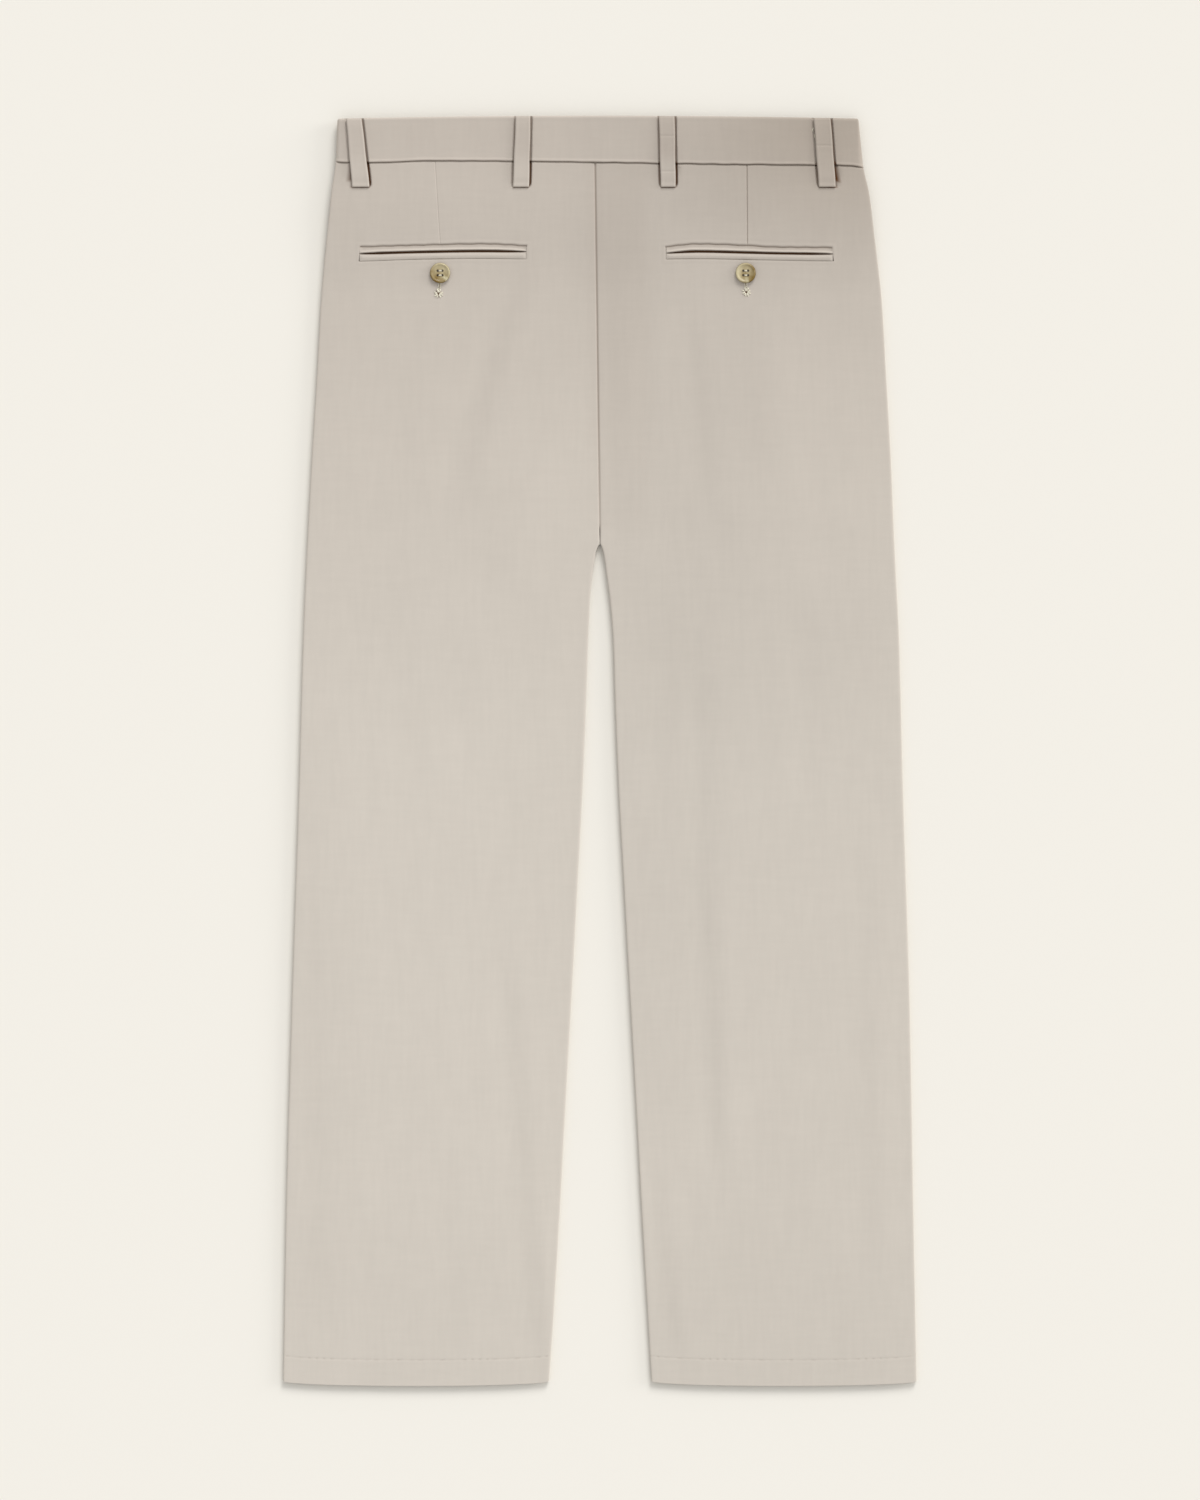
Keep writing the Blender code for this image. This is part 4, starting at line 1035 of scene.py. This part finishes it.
def band_down(x, share, front):
    """Down at a share of the band's height; front is 0 at the back and 1 in front."""
    top = BAND_TOP_DROP * (x / SIDE_WIDTH[LEFT](0)) ** 2
    return top + (back_waist(x) - top) * share + FRONT_DROP * frontness(x) * front


def band_relief(x, down, to_seam, back):
    """The band's outside: a lip over the waist seam, small puckers, and at the back a
    ditch on both sides of each belt loop."""
    relief = line(to_seam - 0.8, *BAND_LIP) + line(down - 0.9, *BAND_TOP_LIP) * back
    relief = relief + unevenness(x, down, 3) * 1.5
    relief = relief + 0.04 * np.sin(x / 1.9 + np.sin(x / 11.0)) * bump(to_seam, 6)
    return relief - BAND_DITCH * back * loop_ditch(x, down) * eased((down + 1) / 3)


def add_waistband():
    x, z, out_x, out_z = (values[None, :] for values in band_path())
    share = np.concatenate([[0, 0.008, 0.03, 0.06], np.linspace(0.1, 0.86, 12),
                            np.linspace(0.89, 0.985, 8), [1.0]])[:, None]
    drawn_in = 0.75 * np.maximum(0, 1 - share / 0.035) ** 2
    tapers = [SIDE_WIDTH[side](BAND_HEIGHT) - SIDE_WIDTH[side](0) for side in (LEFT, RIGHT)]
    taper = np.abs(out_x) * np.where(x < 0, *tapers)
    x = x + np.copysign(taper, x) * (share - 0.5)
    back = 0.5 + 0.5 * out_z
    down = band_down(x, share, 1 - back)
    to_seam = (1 - share) * (back_waist(x) - BAND_TOP_DROP * (x / SIDE_WIDTH[LEFT](0)) ** 2)
    lift = band_relief(x, down, to_seam, back) * back - drawn_in
    y = LENGTH / 2 - down
    outer = points(x + out_x * lift, y, z + out_z * lift)
    depth = BAND_WALL - drawn_in
    inner = points(x - out_x * depth, y, z - out_z * depth)
    # Painted shade along the waist seam and beside the back loops.
    shade = (loop_shade(x, down) + line(to_seam, *BAND_SHADE)) * back
    return add_cloth("band", outer, inner, "waistband", rounding=0.25, shade=shade)


# ---------------------------------------------------------------- belt loops
def add_strap(name, node, places, centre_x, width_at, faint_folds=(), shade=0.0):
    """A folded strip along Y. places lists (down, outer z, inner z) of its run, and shade
    is the painted shade that it gets on the waistband."""
    table = np.array(places, float)
    top, end = table[0, 0], table[-1, 0]
    steps = spaced(top, (top + 2, 0.25), (end - 2, 0.8), (end, 0.25))
    outer_z, inner_z = (smooth_column(places, column)(steps)[:, None] for column in (1, 2))
    facing = 1 if table[0, 1] > table[0, 2] else -1
    from_middle = np.linspace(-1, 1, 25)[None, :]
    from_middle = np.sign(from_middle) * np.abs(from_middle) ** 0.8
    half_width = width_at(steps)[:, None] / 2
    from_edge = half_width * (1 - np.abs(from_middle))
    ends = np.minimum(steps - steps[0], steps[-1] - steps)[:, None]
    lift = -0.5 * np.maximum(0, 1 - from_edge / 0.55) ** 2
    if facing == BACK:
        lift = lift + 0.08 * bump(from_edge - 1.4, 0.8)
        lift = lift + 0.12 * bump(ends - 1.3, 0.8)
    for fold_down in faint_folds:
        lift = lift - 0.3 * bump(steps[:, None] - fold_down, 0.6)
    x = centre_x(steps)[:, None] + from_middle * half_width
    x = x + 0.12 * np.sin(steps[:, None] / 5.3 + len(name)) * np.abs(from_middle) ** 4
    y = LENGTH / 2 - steps[:, None]
    outer, inner = points(x, y, outer_z + facing * lift), points(x, y, inner_z)
    on_band = 1 - eased((steps[:, None] - 28) / 16)
    return add_cloth(name, outer, inner, node, rounding=0.2, material=LOOP_TWILL_PAINTED_LIGHT,
                     shade=shade * on_band)


def add_thread_ends():
    """The end of a loop's sewing thread that shows beside the fourth back loop."""
    z = BAND_TOP_Z + 0.25
    paths = [[(x, LENGTH / 2 - down, z) for x, down in strand] for strand in THREAD_ENDS]
    return add_threads("loop_thread_end", paths, 0.28, CREAM_THREAD)


def add_back_loop(number):
    top_x, end_x = BACK_LOOPS[number][:2]
    side = LEFT if top_x < 0 else RIGHT
    start = float(band_down(top_x, 0, 0))
    stand = BAND_TOP_Z + LOOP_STAND
    end_z = float(over_z(side, end_x, LOOP_END_DOWN - 4)) + SEAM_GAP + 0.15
    # Down, height of its underside, and how much thinner it is there.
    undersides = ((start + 0.2, BAND_TOP_Z + SEAM_GAP, 0.35),
                  (start + 2.5, BAND_TOP_Z + 0.6, 0.0), (start + 8, stand - 0.15, 0.0),
                  (20, stand, 0.0), (34, stand, 0.0), (44, stand - 0.2, 0.0),
                  (51, (stand + end_z) / 2, 0.0), (55.5, end_z + 0.1, 0.1),
                  (LOOP_END_DOWN, end_z, 0.3))
    places = [(down, z + LOOP_THICK - thinner, z) for down, z, thinner in undersides]
    return add_strap(f"loop_back_{number + 1}", f"belt_loop_back_{number + 1}", places,
                     lambda down: loop_x(number, down), lambda down: loop_width(number, down),
                     LOOP_FOLDS.get(number, ()), LOOP_SHADES[number][4])


def add_front_loop(number, x):
    top = float(band_down(x, 0, 1)) + 0.4
    end = top + LOOP_END_DOWN
    band_z = BAND_UNDER_Z - SEAM_GAP
    panel_z = float(under_z(end)) - SEAM_GAP
    places = ((top, 0.3, band_z), (top + 1, 0.0, band_z), (top + 6, 0.0, band_z),
              (top + 10, 0.0, LOOP_THICK), (end - 10, 0.0, LOOP_THICK),
              (end - 6, 0.0, panel_z), (end - 1, 0.0, panel_z), (end, 0.3, panel_z))
    return add_strap(f"loop_front_{number + 1}", f"belt_loop_front_{number + 1}", places,
                     lambda down: x + 0 * down, lambda down: LOOP_WIDTH + 0 * down)


# ---------------------------------------------------------------- thread
def tube_mesh(paths, radius, sides=6):
    """Vertices and faces of closed round threads along lists of points."""
    vertices, quads, caps = [], [], []
    made = 0
    for path in paths:
        path = np.asarray(path, float)
        along = np.gradient(path, axis=0)
        along /= np.linalg.norm(along, axis=1, keepdims=True)
        across = np.cross(along, (0.31, 0.17, 0.94))
        across /= np.linalg.norm(across, axis=1, keepdims=True)
        third = np.cross(along, across)
        turns = 2 * math.pi * np.arange(sides) / sides
        ring = (np.cos(turns)[None, :, None] * across[:, None]
                + np.sin(turns)[None, :, None] * third[:, None])
        width = np.full(len(path), radius)
        width[[0, -1]] *= 0.55
        vertices.append((path[:, None] + ring * width[:, None, None]).reshape(-1, 3))
        index = made + np.arange(len(path) * sides).reshape(len(path), sides)
        beside = np.roll(index, -1, 1)
        quads.append(np.stack([index[:-1], index[1:], beside[1:], beside[:-1]], -1).reshape(-1, 4))
        caps += [index[0][::-1], index[-1]]
        made += len(path) * sides
    return np.concatenate(vertices), [np.concatenate(quads), np.array(caps)]


def add_threads(name, paths, radius, material=None):
    vertices, faces = tube_mesh(paths, radius)
    return add_object(name, vertices, faces, material or THREAD)


def arc(start, end, height, count=7):
    """A stitch from start to end that stands up by height in its middle."""
    t = np.linspace(0, 1, count)[:, None]
    path = np.asarray(start) + (np.asarray(end) - np.asarray(start)) * t
    path[:, 2] += height * np.sin(np.pi * t[:, 0])
    return path


def add_keyhole(side):
    """The stitched eye of a pocket's buttonhole and the stretch of slit below the button."""
    random = np.random.RandomState(40 + side)
    eye_x, eye_down = KEYHOLES[side]
    pale, dark = [], []
    for number, turn in enumerate(np.linspace(-0.6 * math.pi, 1.35 * math.pi, EYE_STITCHES)):
        turn += random.normal(0, 0.1)
        start, end = (0.9, 3.3) if number % 2 else (1.1, 4.1)
        reaches = (start, end + random.uniform(-0.5, 0.3))
        ends = [on_back(side, eye_x + r * math.cos(turn), eye_down + r * math.sin(turn), 0.1)
                for r in reaches]
        (dark if number % 6 == 3 else pale).append(arc(*ends, 0.3))
    slit_top = BUTTON_DOWN + BUTTON_RADIUS - 1.5
    for down in np.arange(slit_top, eye_down - 2.4, SLIT_STITCH_PITCH):
        lean = (down - slit_top) / (eye_down - slit_top)
        x = button_x(side) + (eye_x - button_x(side)) * lean
        for way in (-1, 1):
            ends = [on_back(side, x + way * r, down, 0.06)
                    for r in (0.3, 1.1 + random.uniform(-0.2, 0.3))]
            pale.append(arc(*ends, 0.12))
    slit = [on_back(side, button_x(side) + (eye_x - button_x(side)) * t,
                    slit_top + (eye_down - slit_top) * t, 0.05) for t in np.linspace(0, 1, 9)]
    name = SIDE_NAMES[side]
    # The darker stitches and the slit's line are threads of painted shade.
    stitches = add_threads(f"keyhole_{name}", pale, 0.4, CREAM_THREAD)
    shade = add_threads(f"keyhole_shade_{name}", dark + [slit], 0.26, SHADE_THREAD)
    # The eye is a dark disc of painted shade.
    centre = on_back(side, eye_x, eye_down, 0.05)
    ring = np.arange(16)
    turns = 2 * math.pi * ring / len(ring)
    disc = centre + points(np.cos(turns), 1.2 * np.sin(turns), 0) * 0.8
    lower = disc - (0, 0, 0.3)
    beside, under = np.roll(ring, -1), ring + len(ring)
    faces = [ring[None], under[None, ::-1],
             np.stack([ring, beside, beside + len(ring), under], -1)]
    eye = add_object(f"keyhole_eye_{name}", np.concatenate([disc, lower]), faces, POCKET_SHADE_SHEET)
    return stitches, shade, eye


def stitch_row(places, pitch, stitch):
    """Starts and ends of even stitches along a line of (x, down)."""
    places = np.array(places, float)
    run = np.concatenate([[0], np.cumsum(np.hypot(*np.diff(places, axis=0).T))])
    starts = np.arange(0, run[-1] - stitch, pitch)
    return [[[float(np.interp(at, run, places[:, k])) for k in (0, 1)]
             for at in (start, start + stitch)] for start in starts]


def add_front_stitches(side):
    """Topstitching of the hand pocket's mouth, and of the fly on the wearer's left."""
    downs = np.linspace(BAND_HEIGHT + 14, SLANT_END_DOWN - 8, 12)
    seams = [[(float(mouth_x(side, d)) - side * inset, d) for d in downs]
             for inset in MOUTH_STITCH_INSETS]
    if side == LEFT:
        seams.append(FLY_STITCHES)
    paths = []
    for seam in seams:
        for ends in stitch_row(seam, FRONT_STITCH_PITCH, FRONT_STITCH):
            start, end = (points(x, place_y(FRONT, side, x, d),
                                 under_z(d) - front_relief(side, x, d) + 0.18) for x, d in ends)
            paths.append(arc(start, end, -0.03, 5))
    return add_threads(f"front_stitches_{SIDE_NAMES[side]}", paths, 0.16)


def add_waist_buttonhole():
    """The end of the buttonhole that shows beside the waist button."""
    paths = []
    for x in np.arange(WAIST_BUTTON_X - 13.5, WAIST_BUTTON_X - 7, 0.6):
        middle = float(band_down(x, 0.5, 1))
        for way in (-1, 1):
            start, end = (np.array([x, LENGTH / 2 - middle - way * r, BAND_UNDER_Z - 0.02])
                          for r in (0.25, 1.6))
            paths.append(arc(start, end, -0.15, 5))
    return add_threads("waist_buttonhole", paths, 0.2)


# ---------------------------------------------------------------- buttons
def add_button(name, node, x, down, base_z, facing, material):
    """A turned four-hole button with its sewing thread. base_z is the height of its back."""
    segments = 64
    turns = 2 * math.pi * np.arange(segments) / segments
    y = LENGTH / 2 - down
    rings = [points(x + r * np.cos(turns), y + r * np.sin(turns), base_z + facing * h)
             for r, h in BUTTON_PROFILE[1:-1]]
    centres = [(x, y, base_z + facing * BUTTON_PROFILE[end][1]) for end in (0, -1)]
    count = len(rings)
    index = np.arange(count * segments).reshape(count, segments)
    beside = np.roll(index, -1, 1)
    quads = np.stack([index[:-1], beside[:-1], beside[1:], index[1:]], -1).reshape(-1, 4)
    low = np.stack([index[0], beside[0], np.full(segments, index.size)], -1)
    high = np.stack([index[-1], beside[-1], np.full(segments, index.size + 1)], -1)
    button = add_object(name, np.concatenate(rings + [centres]), [quads, low, high], material,
                        sharp=35)
    # The four holes are cut by short rods that reach past both faces.
    rods = [[(x + BUTTON_HOLE_PLACE * dx, y + BUTTON_HOLE_PLACE * dy, base_z + h)
             for h in (-4, 0, 4)] for dx in (-1, 1) for dy in (-1, 1)]
    vertices, faces = tube_mesh(rods, BUTTON_HOLE, 24)
    cutter = add_object(f"{name}_cutter", vertices, faces, material)
    cut = button.modifiers.new("holes", "BOOLEAN")
    cut.object = cutter
    bpy.context.view_layer.update()
    graph = bpy.context.evaluated_depsgraph_get()
    mesh = bpy.data.meshes.new_from_object(button.evaluated_get(graph))
    button.modifiers.clear()
    button.data = mesh
    bpy.data.objects.remove(cutter)
    mesh.set_sharp_from_angle(angle=math.radians(35))
    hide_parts(node)
    face_z = base_z + facing * 1.5
    paths = []
    for dy in (-1, 1):
        for offset in (-0.3, 0.3):
            paths.append([(x + BUTTON_HOLE_PLACE * dx, y + BUTTON_HOLE_PLACE * dy + offset,
                           face_z + facing * h) for dx, h in BUTTON_STRAND])
    return button, add_threads(f"{name}_thread", paths, 0.25, CREAM_THREAD)


def add_pocket_button(side):
    """Stands just clear of the highest cloth that it covers."""
    x = button_x(side)
    under_it = [over_z(side, x + dx, BUTTON_DOWN + dy)
                for dx in (-BUTTON_RADIUS, 0, BUTTON_RADIUS) for dy in (-BUTTON_RADIUS, 0)]
    return add_button(f"button_{SIDE_NAMES[side]}", f"pocket_button_{SIDE_NAMES[side]}", x,
                      BUTTON_DOWN, float(max(under_it)) + SEAM_GAP, BACK, HORN[side])


def add_leg(side):
    """Makes the pieces of one leg and gives back its back panel."""
    back, front, facing = add_back_panel(side), add_front_panel(side), add_facing(side)
    upper, lower, inside = add_pocket(side)
    button = add_pocket_button(side)
    keyhole = add_keyhole(side)
    stitches = add_front_stitches(side)
    return back


def add_trousers():
    backs = [add_leg(side) for side in (LEFT, RIGHT)]
    band = add_waistband()
    waist_button = add_button("button_waist", "waist_button", WAIST_BUTTON_X,
                              float(band_down(WAIST_BUTTON_X, 0.5, 1)),
                              BAND_UNDER_Z - SEAM_GAP, FRONT, HORN[LEFT])
    add_waist_buttonhole()
    add_thread_ends()
    for number in range(len(BACK_LOOPS)):
        add_back_loop(number)
    for number, x in enumerate(FRONT_LOOPS):
        add_front_loop(number, x)


add_trousers()


# ---------------------------------------------------------------- stage
def add_stage():
    bpy.ops.mesh.primitive_plane_add(size=8, location=(0, 0, -0.0002))
    floor = bpy.context.object
    floor.name = "floor"
    n = Nodes("floor", 0.9)
    n.look(Base_Color=as_lit(*FLOOR_TONE))
    floor.data.materials.append(n.material)

    # A soft key comes from beyond the waist, and a low one rakes over the right hip. Each
    # gives its share of LIGHT_LEVEL on the floor, and the white world gives the rest.
    level = LIGHT_LEVEL
    for name, around, above, spread, share in SUNS:
        sun = bpy.data.lights.new(name, "SUN")
        sun.angle = math.radians(spread)
        sun.energy = share * math.pi / math.sin(math.radians(above))
        level -= share
        lamp = bpy.data.objects.new(name, sun)
        turn, tilt = math.radians(around), math.radians(above)
        towards = mathutils.Vector((math.cos(turn) * math.cos(tilt),
                                    math.sin(turn) * math.cos(tilt), math.sin(tilt)))
        lamp.rotation_euler = towards.to_track_quat("Z", "Y").to_euler()
        bpy.context.scene.collection.objects.link(lamp)
    world = bpy.data.worlds.new("studio")
    world.use_nodes = True
    world.node_tree.nodes["Background"].inputs["Color"].default_value = (1, 1, 1, 1)
    world.node_tree.nodes["Background"].inputs["Strength"].default_value = level
    bpy.context.scene.world = world
    bpy.context.scene.view_settings.view_transform = "Standard"


def add_camera():
    camera = bpy.data.cameras.new("camera")
    camera.lens = camera.sensor_width * CAMERA_HEIGHT / PICTURE_HEIGHT
    camera.clip_end = 20
    obj = bpy.data.objects.new("camera", camera)
    obj.location = CAMERA_PLACE
    bpy.context.scene.collection.objects.link(obj)
    bpy.context.scene.camera = obj


add_stage()
add_camera()
